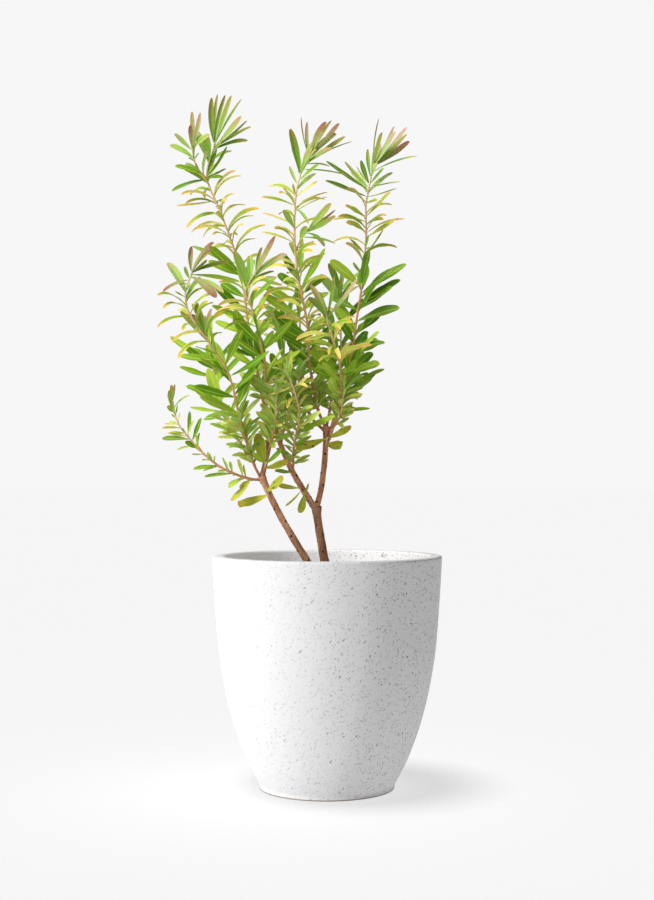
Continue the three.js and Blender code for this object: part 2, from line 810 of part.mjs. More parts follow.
// A leaf that grows from a stem by its kind's angles. The middle line is an arc in the plane of the
// stem and the way out from it.
function grownLeaf(root, stem, turn, length, width, kind, leanIn) {
  const front = frontOf(stem);
  const across = stem.clone().cross(front);
  const radians = THREE.MathUtils.degToRad(turn);
  const out = front.multiplyScalar(Math.cos(radians)).addScaledVector(across, Math.sin(radians));
  const middle = [root.clone().addScaledVector(out, -ROOT_SINK)];
  const rootAngle = THREE.MathUtils.degToRad(kind.rootAngle + leanIn);
  const tipAngle = THREE.MathUtils.degToRad(kind.tipAngle + leanIn);
  for (let i = 0; i < BLADE_STEPS; i += 1) {
    const angle = rootAngle + ((tipAngle - rootAngle) * (i + 0.5)) / BLADE_STEPS;
    const next = middle[i].clone().addScaledVector(stem, (Math.cos(angle) * length) / BLADE_STEPS);
    middle.push(next.addScaledVector(out, (Math.sin(angle) * length) / BLADE_STEPS));
  }
  const middleAngle = (rootAngle + tipAngle) / 2;
  const natural = stem.clone().multiplyScalar(Math.sin(middleAngle));
  natural.addScaledVector(out, -Math.cos(middleAngle));
  return finishedLeaf(middle, natural, length, width, kind.end);
}

// A leaf whose tip is given, bowed a little upwards on its way there
function markedLeaf(root, stem, tip, width, kind, bow) {
  const whole = tip.clone().sub(root);
  const length = whole.length();
  const along = whole.clone().normalize();
  const natural = stem.clone().addScaledVector(along, -stem.dot(along)).normalize();
  const middle = [];
  for (let i = 0; i <= BLADE_STEPS; i += 1) {
    const share = i / BLADE_STEPS;
    const sag = bow * length * share * (1 - share);
    middle.push(root.clone().addScaledVector(whole, share).addScaledVector(natural, -sag));
  }
  return finishedLeaf(middle, natural, length, width, kind.end);
}

function finishedLeaf(middle, natural, length, width, end) {
  const along = middle[BLADE_STEPS].clone().sub(middle[0]).normalize();
  const face = upperFace(natural, along);
  const side = along.clone().cross(face).normalize();
  return { middle, side, length, width, end };
}

// A closed blade with a flat upper face and a keel below. It runs from a point sunk in its stem, by its
// widest place, to a point or a blunt edge.
function leafGeometry(leaf) {
  const [root, wide, tip] = [0, WIDEST_STEP, BLADE_STEPS].map((i) => leaf.middle[i]);
  const half = leaf.width / 2;
  const depth = Math.max(BLADE_THICKNESS, leaf.length / 60);
  const up = leaf.side.clone().cross(wide.clone().sub(root)).normalize();
  const points = [
    root,
    wide.clone().addScaledVector(leaf.side, half),
    wide.clone().addScaledVector(leaf.side, -half),
    wide.clone().addScaledVector(up, -depth),
  ];
  const faces = [[0, 1, 2], [0, 2, 3], [0, 3, 1]];
  if (leaf.end > 0) {
    points.push(tip.clone().addScaledVector(leaf.side, half * leaf.end));
    points.push(tip.clone().addScaledVector(leaf.side, -half * leaf.end));
    faces.push([1, 4, 5], [1, 5, 2], [3, 5, 4], [3, 4, 1], [3, 2, 5]);
  } else {
    points.push(tip);
    faces.push([1, 4, 2], [2, 4, 3], [3, 4, 1]);
  }
  return geometryOf(points, faces);
}

function zoneAt(zones, share) {
  return zones.find((zone) => share <= zone[0]);
}

// The leaves along one stem. Each leaf makes the same number of draws, whether it is kept or not.
function leavesAlong(owner, twig, line) {
  const draw = seededDraws(twig.seed);
  const kept = [];
  let turn = 360 * draw();
  let distance = twig.leafFrom * line.length;
  while (distance < line.length) {
    const [, name, spread = 1] = zoneAt(twig.zones, distance / line.length);
    const kind = LEAF_KINDS[name];
    const [lengthDraw, widthDraw, turnDraw, leanDraw, stepDraw] = [draw(), draw(), draw(), draw(), draw()];
    const length = (kind.length[0] + (kind.length[1] - kind.length[0]) * lengthDraw) * twig.size;
    const width = length * kind.width * (1 + WIDTH_JITTER * (widthDraw - 0.5));
    const leanIn = LEAN_JITTER * (leanDraw - 0.5);
    const root = placeAt(line, distance);
    const stem = directionAt(line, distance);
    TRIES.some(([turnBy, shorten]) => {
      const leaf = grownLeaf(root, stem, turn + turnBy, length * shorten, width * shorten, kind, leanIn);
      return keepIfClear(owner, leaf, kept, OWN_CLOSENESS);
    });
    turn += DIVERGENCE + TURN_JITTER * (turnDraw - 0.5);
    distance += spread * kind.spacing * (1 + SPACING_JITTER * (stepDraw - 0.5));
  }
  return kept;
}

function heightAt(line, height) {
  let distance = 0;
  while (distance < line.length && placeAt(line, distance).z < height) {
    distance += 1;
  }
  return Math.min(distance, line.length);
}

function markedLeaves(owner, twig, line) {
  const kept = [];
  for (const [height, tip, width, kind, bow = MARKED_BOW] of twig.marked ?? []) {
    const distance = heightAt(line, height);
    const stem = directionAt(line, distance);
    const leaf = markedLeaf(placeAt(line, distance), stem, vector(tip), width, LEAF_KINDS[kind], bow);
    keepIfClear(owner, leaf, kept, MARKED_CLOSENESS);
  }
  return kept;
}

// The planter: a thick-walled cup turned about Z, with a small upright foot and rounded rim edges
function potGeometry() {
  const rim = POT_RIM_RADIUS;
  const edge = POT_EDGE_ROUND;
  const outer = new THREE.SplineCurve([
    new THREE.Vector2(POT_FOOT_RADIUS, POT_FOOT_HEIGHT),
    ...POT_BELLY.map(([radius, height]) => new THREE.Vector2(radius, height)),
    new THREE.Vector2(rim, POT_HEIGHT - edge),
  ]).getPoints(9);
  const aboveCorner = outer.filter((p) => p.y > POT_FLOOR + POT_INNER_CORNER[0]);
  const inner = aboveCorner.map((p) => new THREE.Vector2(p.x - POT_WALL, p.y));
  inner.reverse();
  const floorRadius = inner[inner.length - 1].x - POT_INNER_CORNER[1];
  const profile = [
    new THREE.Vector2(0, 0),
    new THREE.Vector2(POT_FOOT_RADIUS - 1, 0),
    new THREE.Vector2(POT_FOOT_RADIUS, 1),
    ...outer,
    new THREE.Vector2(rim - edge * 0.3, POT_HEIGHT - edge * 0.3),
    new THREE.Vector2(rim - edge, POT_HEIGHT),
    new THREE.Vector2(rim - POT_WALL + edge, POT_HEIGHT),
    new THREE.Vector2(rim - POT_WALL + edge * 0.3, POT_HEIGHT - edge * 0.3),
    ...inner,
    new THREE.Vector2(floorRadius, POT_FLOOR),
    new THREE.Vector2(0, POT_FLOOR),
  ];
  return { geometry: turned(profile), inner, floorRadius };
}

// A profile turned about Z
function turned(profile) {
  const geometry = new THREE.LatheGeometry(profile, POT_SIDES);
  geometry.rotateX(Math.PI / 2);
  return geometry;
}

// The soil fills the planter to its level, clear of the wall and the floor
function soilGeometry(inner, floorRadius) {
  const below = inner.filter((p) => p.y < SOIL_TOP - 4);
  const above = inner[inner.length - below.length - 1];
  const next = below[0];
  const share = (SOIL_TOP - next.y) / (above.y - next.y);
  const topRadius = next.x + (above.x - next.x) * share;
  const profile = [
    new THREE.Vector2(0, POT_FLOOR + GAP),
    new THREE.Vector2(floorRadius - GAP, POT_FLOOR + GAP),
    ...below.slice().reverse().map((p) => new THREE.Vector2(p.x - GAP, p.y)),
    new THREE.Vector2(topRadius - GAP, SOIL_TOP),
    new THREE.Vector2(0, SOIL_TOP),
  ];
  return turned(profile);
}

const plant = new THREE.Group();

function addMesh(name, geometry, colour, roughness) {
  geometry.computeVertexNormals();
  const material = new THREE.MeshStandardMaterial({ color: colour, roughness, metalness: 0 });
  const mesh = new THREE.Mesh(geometry, material);
  mesh.name = name;
  plant.add(mesh);
}

// Solids that later ones are cut clear of, each a little larger than what it stands for
const keptClear = [];

function cutClear(solid) {
  return keptClear.reduce((rest, other) => rest.subtract(other), solid);
}

function buildPot() {
  const pot = potGeometry();
  addMesh("planter", pot.geometry, COLOURS.pot, 0.8);
  addMesh("soil", soilGeometry(pot.inner, pot.floorRadius), COLOURS.soil, 0.95);
}

function buildLimbs() {
  for (const [name, limb] of Object.entries(LIMBS)) {
    const line = smoothLine(limb.route);
    const level = limb.flare > 0;
    const solid = solidOf(taperedTube(line, limbRadius(limb, line, 0), LIMB_SIDES, LIMB_STEP, level));
    addMesh(name, mainBody(cutClear(solid)), COLOURS.bark, 0.9);
    keptClear.push(solidOf(taperedTube(line, limbRadius(limb, line, GAP), LIMB_SIDES, LIMB_STEP, level)));
    markStem(name, line, limbRadius(limb, line, 0));
  }
}

function buildMasses() {
  const stems = Object.entries(MASSES).map(([name, mass]) => {
    const twigs = [mass, ...mass.side].map((twig) => ({ twig, line: smoothLine(twig.route) }));
    twigs.forEach(({ twig, line }) => markStem(name, line, twigRadius(twig.radii, line, 0)));
    return { name, mass, twigs };
  });
  const marked = stems.map(({ name, twigs }) => {
    return twigs.flatMap(({ twig, line }) => markedLeaves(name, twig, line));
  });
  stems.forEach(({ name, twigs }, i) => {
    const wood = twigs.map(({ twig, line }) => {
      return solidOf(taperedTube(line, twigRadius(twig.radii, line, 0), TWIG_SIDES, TWIG_STEP, false));
    });
    const grown = twigs.flatMap(({ twig, line }) => leavesAlong(name, twig, line));
    const leaves = [...marked[i], ...grown].map((leaf) => solidOf(leafGeometry(leaf)));
    const whole = wasm.Manifold.union([...wood, ...leaves]);
    addMesh(name, mainBody(cutClear(whole)), COLOURS.leaf, 0.6);
    twigs.forEach(({ twig, line }) => {
      const larger = twigRadius(twig.radii, line, GAP);
      keptClear.push(solidOf(taperedTube(line, larger, TWIG_SIDES, TWIG_STEP, false)));
    });
  });
}

buildPot();
buildLimbs();
buildMasses();

export default plant;
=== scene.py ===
# The looks of a young oleander-leaf protea with two stems, in a round speckled planter.
# Limbs, stems and leaves grow by the same rule as the frame's solids, here carried to whole leaves.
# The rule works in millimetres and degrees, and meshes are made in metres. The front is -Y.

import math
from dataclasses import dataclass
from functools import cache

import bpy
import numpy as np
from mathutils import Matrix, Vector, noise

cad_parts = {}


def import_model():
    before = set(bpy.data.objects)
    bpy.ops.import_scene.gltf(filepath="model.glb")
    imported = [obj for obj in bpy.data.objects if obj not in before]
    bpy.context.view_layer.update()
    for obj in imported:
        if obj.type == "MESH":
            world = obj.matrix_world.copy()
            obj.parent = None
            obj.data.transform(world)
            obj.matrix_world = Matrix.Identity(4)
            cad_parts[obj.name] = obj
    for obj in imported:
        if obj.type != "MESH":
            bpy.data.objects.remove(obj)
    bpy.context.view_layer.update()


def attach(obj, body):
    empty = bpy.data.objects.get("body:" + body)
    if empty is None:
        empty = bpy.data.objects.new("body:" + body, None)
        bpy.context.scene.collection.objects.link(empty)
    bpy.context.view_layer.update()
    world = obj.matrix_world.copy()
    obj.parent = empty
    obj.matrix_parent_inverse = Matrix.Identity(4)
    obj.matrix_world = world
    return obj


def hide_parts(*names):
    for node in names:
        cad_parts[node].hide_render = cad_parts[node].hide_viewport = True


MM = 0.001
# Steps of a smooth line in each span of its route
LINE_STEPS = 16

# The camera, level and straight in front, in metres. The shift frames the plant as the photo does.
CAMERA_PLACE = (0, -1.9, 0.41)
CAMERA_LENS = 57.84
CAMERA_SHIFT = 0.0272

# The lamps: name, azimuth, elevation, strength, the angle that they fill, and the pieces that they
# alone reach or don't reach. The planter has a key lamp of its own, which the crown doesn't shade.
LAMPS = [
    ("key", -56, 42, 0.91, 35, "EXCLUDE", ["floor", "planter_body"]),
    ("key_on_planter", -61, 28, 1.16, 20, "INCLUDE", ["planter_body"]),
    ("low_on_planter", 20, -50, 0.16, 60, "INCLUDE", ["planter_body"]),
    ("top", -80, 66, 0.36, 70, "EXCLUDE", ["floor"]),
    ("over_floor", -72, 80, 0.66, 21, "INCLUDE", ["floor"]),
    ("fill_right", 80, 20, 0.05, 80, "EXCLUDE", ["floor", "planter_body"]),
    ("fill_back", 180, 40, 0.1, 90, "EXCLUDE", ["floor"]),
    ("fill_front", -15, 2, 0.21, 60, "EXCLUDE", ["floor", "planter_body"]),
]
RIM_LAMP_PLACE = Vector((0.07, -0.09, 0.39))
RIM_LAMP_AIM = Vector((-0.07, 0.09, 0.27))
RIM_LAMP_POWER = 1.15
RIM_LAMP_CONE = 110
RIM_LAMP_RADIUS = 0.02

# The stage: a floor of this radius in metres, with its own glow, and the sky's shade
FLOOR_RADIUS = 40
FLOOR_SIDES = 64
FLOOR_GLOW = 0.645
FLOOR_COLOUR = 0.42
SKY_SHOWN = 0.93

# The planter. Its foot is darker clay up to the foot's edge, a painted contact shade.
POT_HEIGHT = 304
POT_RIM_RADIUS = 150.8
POT_FOOT_RADIUS = 88.7
POT_FOOT_HEIGHT = 5
POT_FOOT_EDGE = 1.6
POT_FOOT_ROUND = 1
POT_UNDERSIDE_MARGIN = 12
POT_WALL = 16
POT_FLOOR = 22
POT_EDGE_ROUND = 3
POT_EDGE_STEPS = 7
POT_INNER_CORNER = (12, 8)
POT_SIDES = 192
POT_BELLY = [(108.4, 44), (127.5, 101), (141, 170), (147.2, 240)]
BELLY_STEPS = 8
GAP = 0.3

# The clay's linear colour, and its layers of chips: cells for each metre, smallest and largest reach,
# shift and shades. The warp bends their places. Toward the lit left the chips fade into the clay, a
# painted highlight: from and to in metres, and the share there and here.
CLAY = (0.7, 0.692, 0.698)
CHIP_LAYERS = [
    (75, -1.8, 0.34, 3.1, ["#d9d5cf", "#d6d2cb", "#d9d6d3"]),
    (370, 0.0, 0.44, 1.3, ["#b8b7bb", "#a8a7ac", "#c2c1c4", "#b4afaa"]),
    (300, -0.32, 0.37, 5.2, ["#929196", "#85848a", "#9f978e"]),
    (190, -1.1, 0.3, 7.7, ["#6c6b72", "#5f5e66"]),
]
CHIP_WARP = (0.012, -0.009, 0.014)
PAINTED_HIGHLIGHT_SIDE = (-0.12, 0.1, 0.86, 0)

# The soil. Each of its waves has a scale, a shift and a height.
SOIL_TOP = 264
SOIL_SINK = 1
SOIL_EDGE_DROP = 4
SOIL_RINGS = 46
SOIL_SIDES = 144
SOIL_WAVES = [(0.018, 4, 2.2), (0.09, 9, 1.1), (0.3, 2, 0.6)]
CLOD_COUNT = 420
CLOD_SEED = 8
CLOD_SIDES = 8
CLOD_RINGS = [-50, -15, 20, 55]
CLOD_MARGIN = 8
CLOD_SMALLEST = 1.2
CLOD_GROWTH = 3.6
CLOD_SHAPE = (1.2, 0.9, 0.7)
CLOD_BENDS = (0.75, 1.15)
CLOD_LIFT = 0.2

# The wood. Each wave of the bark has a scale around, a scale along and a share of the ridges' height.
BARK_SIDES = 30
BARK_STEP = 1.3
BARK_WAVES = [(0.55, 0.07, 1.3), (1.3, 0.3, 0.7)]
RIDGE_HEIGHT = 0.35
FLARE_HEIGHT = 11
FLARE_DEPTH = 4
HEAD_REACH = 9
HEAD_ANGLES = [65, 40, 15]
HEAD_PLACES = [-0.6, 0.3, 0.8]
LIMB_OVERLAP = 4
# Where the bark's shades lie on its noise, and the shades of old and of younger bark
BARK_STEPS = [0.3, 0.46, 0.58, 0.72]
OLD_BARK = ["#87593f", "#a67456", "#bf8e6e", "#ccaa92"]
YOUNG_BARK = ["#9e694b", "#c38967", "#dca582", "#e0bba2"]
# The scars of dropped leaves, each with a dent below it. A face is dark from this share of a scar.
SCAR_SPACING = 7.5
SCAR_SPACING_SHARES = (0.7, 1.4)
SCAR_HEIGHT = 0.55
SCAR_WIDTH = 1.6
SCAR_LENGTH = 1.1
SCAR_DARK_FROM = 0.27
DENT_DROP = 1.8
DENT_LENGTH = 0.9
DENT_SHARE = 0.8
# The splinters on the broken end of the left limb
SPLINTERS = 9
SPLINTER_SEED = 5
SPLINTER_SIDES = 7
SPLINTER_SPREAD = 0.55
SPLINTER_SPREAD_SHARES = (0.3, 1.1)
SPLINTER_ROOT = 3
SPLINTER_HEIGHTS = (2.5, 6.5)
SPLINTER_BEND = 0.3
SPLINTER_LEANS = (0.2, 1.2)
SPLINTER_RADII = [1.3, 1.2, 1.0, 0.35]
SPLINTER_SHARES = [0, 0.35, 0.75, 1]
SPLINTER_ROUGHNESS = (0.7, 1.2)

# The twigs, and their colours from the foot to the tip, by share of the length
TWIG_SIDES = 10
TWIG_STEP = 2.4
NODE_SWELLING = 0.55
NODE_REACH = 1.6
BUD_LENGTH = 3
BUD_PLACES = [0.35, 0.7, 0.95]
BUD_RADII = [0.95, 0.6, 0.2]
TWIG_LOOK = [
    (0, "#b87a52"),
    (0.15, "#cc8c5c"),
    (0.35, "#e0a26c"),
    (0.6, "#e8b688"),
    (0.8, "#eec2a2"),
    (0.93, "#eaccac"),
    (1, "#d2ce92"),
]
TWIG_COLOUR_STEPS = 16

# The rule of the leaves
FRONT = np.array([0.0, -1.0, 0.0])
LIGHT = np.array([-0.3, -0.85, 0.42]) / np.linalg.norm([-0.3, -0.85, 0.42])
TURN_TO_LIGHT = 0.74
DIVERGENCE = 137.5
TURN_JITTER = 32
LEAN_JITTER = 22
WIDTH_JITTER = 0.3
SPACING_JITTER = 0.5
MARKED_BOW = 0.16
BLADE_STEPS = 8
WIDEST_STEP = 5
BLADE_ROOT_SHARE = 0.16
BLADE_RISE = 1.4
BLADE_FALL = 2.2
ROOT_SINK = 1.2
CLEARANCE = 0.5
STEM_SPOT_STEP = 4
SPOT_SHARE = 0.92
# A leaf that has no room is tried again, turned by so many degrees and shortened to this share
TRIES = [(0, 1), (16, 1), (-16, 1), (32, 0.95), (-32, 0.95), (48, 0.9), (-48, 0.9), (8, 0.75), (-8, 0.6)]
# How near leaves may lie, as a share of their room
OWN_CLOSENESS = 0.62
OWN_FREE_STEPS = 2
MARKED_CLOSENESS = 0.3
FILL_CLOSENESS = 0.45
FILL_SEED = 1000

# The mesh of a leaf: its rings, closer together toward the tip, and places across from margin to margin
LEAF_RINGS = 15
RING_CLOSENESS = 1.25
RING_SHARES = 1 - (1 - np.arange(1, LEAF_RINGS + 1) / (LEAF_RINGS + 1)) ** RING_CLOSENESS
UPPER_ACROSS = [-1, -0.78, -0.45, -0.08, 0, 0.08, 0.45, 0.78, 1]
ACROSS = np.array(UPPER_ACROSS + UPPER_ACROSS[-2:0:-1])
IS_UPPER = np.arange(len(ACROSS)) < len(UPPER_ACROSS)
LEAF_THICKNESS = 0.45
FOLD_SHARES = (0.4, 1.3)
WAVE_COUNTS = (1.2, 2.6)
WAVE_SHIFT = 1.3
RIB_DEPTH = 0.35
RIB_WIDTH = 0.2
RIB_TAPER = 1.2
RIB_ABOVE = 0.25
BLUNT_FROM = 0.5
STALK_SHARE = 0.1
TIP_JITTER = (-0.08, 0.12)
SHORTEST_TIP = 0.05
TIP_COLOUR_STEPS = 4
SPOT_COLOUR = "#7c5a2c"


@dataclass
class Kind:
    """A kind of leaf: lengths, width as a share of the length, angle to the stem at the root and at the
    tip, spacing, and how many times farther apart the leaves of the second pass stand. Then the blade:
    how far the colours of its midrib and margin reach, where its tip's colour starts, the angle of its
    fold, its wave, its twist and droop, how blunt its tip is, and its share of brown spots.
    """

    lengths: tuple
    width: float
    angles: tuple
    spacing: float
    fill: float
    rib: float
    margin: float
    tip_from: float
    fold: float
    wave: float
    twist: float
    droop: float
    blunt: float = 0
    spots: float = 0


KINDS = {
    "small": Kind((23, 41), 0.22, (50, 62), 5.6, 0.55, rib=0.16, margin=0.2, tip_from=0.8,
        fold=20, wave=0.05, twist=10, droop=0.02),
    "mature": Kind((46, 64), 0.25, (56, 46), 10.5, 2.6, rib=0.11, margin=0.12, tip_from=0.86,
        fold=14, wave=0.06, twist=12, droop=0.04),
    # dark: the mature leaves in deeper greens, a painted shade for leaves on the shaded side
    "dark": Kind((46, 64), 0.25, (56, 46), 10.5, 1, rib=0.11, margin=0.1, tip_from=0.9,
        fold=14, wave=0.06, twist=12, droop=0.04),
    "edged": Kind((40, 60), 0.14, (38, 106), 6.6, 1.5, rib=0.16, margin=0.34, tip_from=0.7,
        fold=24, wave=0.1, twist=18, droop=0.05),
    "young": Kind((36, 54), 0.21, (32, 56), 4.8, 1.1, rib=0.16, margin=0.14, tip_from=0.66,
        fold=22, wave=0.05, twist=14, droop=0.03),
    "tip": Kind((46, 64), 0.2, (12, 34), 2.1, 1, rib=0.14, margin=0.14, tip_from=0.5,
        fold=24, wave=0.04, twist=12, droop=0.02),
    "old": Kind((30, 40), 0.32, (70, 80), 9, 1, rib=0.08, margin=0.12, tip_from=0.8,
        fold=8, wave=0.08, twist=10, droop=0.03, blunt=0.5, spots=0.03),
    "cut": Kind((20, 30), 0.4, (70, 80), 9, 1, rib=0.08, margin=0.1, tip_from=0.9,
        fold=8, wave=0.06, twist=8, droop=0.03, blunt=0.88, spots=0.02),
}

# The looks that are dealt out to whole leaves: colours of the stalk, blade, midrib, margin, tip and back
LEAF_LOOKS = {
    "small": [
        ("#ddd987", "#abcc56", "#c5d579", "#b8d067", "#d2c762", "#b7ce72"),
        ("#ddd987", "#c5d86a", "#d4dd85", "#ccda76", "#e5d272", "#c8d680"),
        ("#ddd987", "#95b943", "#b9cb70", "#a6c15a", "#bab450", "#a8c166"),
        ("#ddd987", "#bac753", "#cdd378", "#c3cd65", "#d8bb5a", "#c0cc71"),
    ],
    "mature": [
        ("#cccf58", "#88b325", "#cee262", "#94ba2f", "#9fba32", "#9fbf3f"),
        ("#cccf58", "#a5c837", "#d6e86b", "#afcd3f", "#b0c63b", "#b1ce4b"),
        ("#cccf58", "#709e1c", "#bfd758", "#81ab28", "#8cab28", "#90b33b"),
        ("#cccf58", "#629218", "#b2cd51", "#72a025", "#81a225", "#86a935"),
        ("#cccf58", "#b2d144", "#daea6e", "#b8d34d", "#bacd42", "#b8d358"),
    ],
    # dark: deeper-green copies of the mature looks, a painted shade for leaves on the shaded side
    "dark": [
        ("#c1bc5d", "#749c2d", "#bdcc66", "#82a639", "#8fa63b", "#8faa48"),
        ("#c1bc5d", "#82aa33", "#cad46e", "#8fb240", "#99b040", "#9bb451"),
        ("#c1bc5d", "#658e24", "#acbe59", "#719831", "#809a33", "#829c40"),
    ],
    "edged": [
        ("#d2ce66", "#a4c044", "#c5d471", "#ecd668", "#ecc050", "#b2c65e"),
        ("#d2ce66", "#bac84a", "#d0d874", "#f2dc74", "#eec058", "#c0ca61"),
        ("#d2ce66", "#8eb236", "#bacd69", "#d8cc58", "#e0b450", "#a5bd54"),
        ("#d2ce66", "#dad466", "#e0de7e", "#f6e694", "#eec468", "#d3d26d"),
    ],
    "young": [
        ("#d6d88b", "#a5ca5a", "#bfd77a", "#b3d169", "#c4bb69", "#b2ce6e"),
        ("#d6d88b", "#b7d671", "#cade87", "#c2da7b", "#d2c080", "#bed67d"),
        ("#d6d88b", "#94be4e", "#b4d071", "#a6c860", "#b9b15e", "#a7c666"),
    ],
    "tip": [
        ("#d3cb9a", "#96b54a", "#a7bd67", "#9db756", "#a99e54", "#9fb75d"),
        ("#d3cb9a", "#86aa3d", "#9ab55b", "#90ae4c", "#a1934a", "#94b054"),
        ("#d3cb9a", "#779e33", "#92ae57", "#84a644", "#968741", "#8aaa4c"),
        ("#d3cb9a", "#abc176", "#b8c987", "#b8b783", "#c8a285", "#b1bf7d"),
        ("#d3cb9a", "#9fbb59", "#adc36c", "#abb765", "#ba9c65", "#a7bb67"),
        ("#d3cb9a", "#9da25b", "#abb06c", "#ad9865", "#9d684c", "#a9a467"),
    ],
    "old": [
        ("#d0c058", "#bfc443", "#d2d059", "#c8c748", "#d4ad45", "#c5c64f"),
        ("#d0c058", "#adba37", "#cacc54", "#bcc141", "#c4a13f", "#b7bf47"),
    ],
    "cut": [
        ("#c8bc5a", "#c2c03e", "#d8d460", "#cac64a", "#b28e40", "#c6c258"),
    ],
}


@dataclass
class Limb:
    """A trunk, stem or bough: its route, its radii at both ends, its swelling at the head and its flare."""

    route: list
    radii: tuple
    swelling: float
    flare: float = 0


@dataclass
class Stem:
    """A stem of a mass of foliage: its route, its radii at both ends, the share of its length where its
    leaves start, its seed, the size of its leaves, its zones, its marked leaves and its side stems.

    A zone has the share where it ends, its kind and how many times farther apart its leaves stand. A
    mark has the height of its root, its tip, its width, its kind and how far it sags.
    """

    route: list
    radii: tuple
    leaf_from: float
    seed: int
    size: float
    zones: list
    marks: tuple = ()
    side: tuple = ()


LIMBS = {
    "trunk": Limb(
        route=[(3, 8, 264.3), (-3, 8, 295), (-9, 7, 330), (-13, 6, 356), (-14, 5, 368)],
        radii=(5.8, 5.2), swelling=1.6, flare=5,
    ),
    "limb_right": Limb(
        route=[(-14, 5, 366), (-8, 9, 390), (-4, 13, 419), (-2, 17, 444), (-1, 19, 474)],
        radii=(3.9, 3.6), swelling=1.7,
    ),
    "limb_left": Limb(
        route=[(-15, 4, 364), (-32, 0, 391), (-47, -4, 417), (-58, -7, 442), (-69, -10, 471)],
        radii=(4.4, 3), swelling=0.4,
    ),
    "stem_left": Limb(
        route=[(-6, -15, 264.3), (-25, -14, 296), (-48, -20, 334), (-67, -25, 369), (-85, -30, 408)],
        radii=(4.9, 3.9), swelling=1.7, flare=3.5,
    ),
    "bough_left": Limb(
        route=[(-84, -30, 410), (-77, -28, 440), (-76, -26, 466), (-78, -25, 491)],
        radii=(2.9, 2.7), swelling=0.6,
    ),
    "bough_right": Limb(
        route=[(-1, 18, 451), (4, 17, 463), (11, 14, 485)],
        radii=(3, 2.9), swelling=0.5,
    ),
}

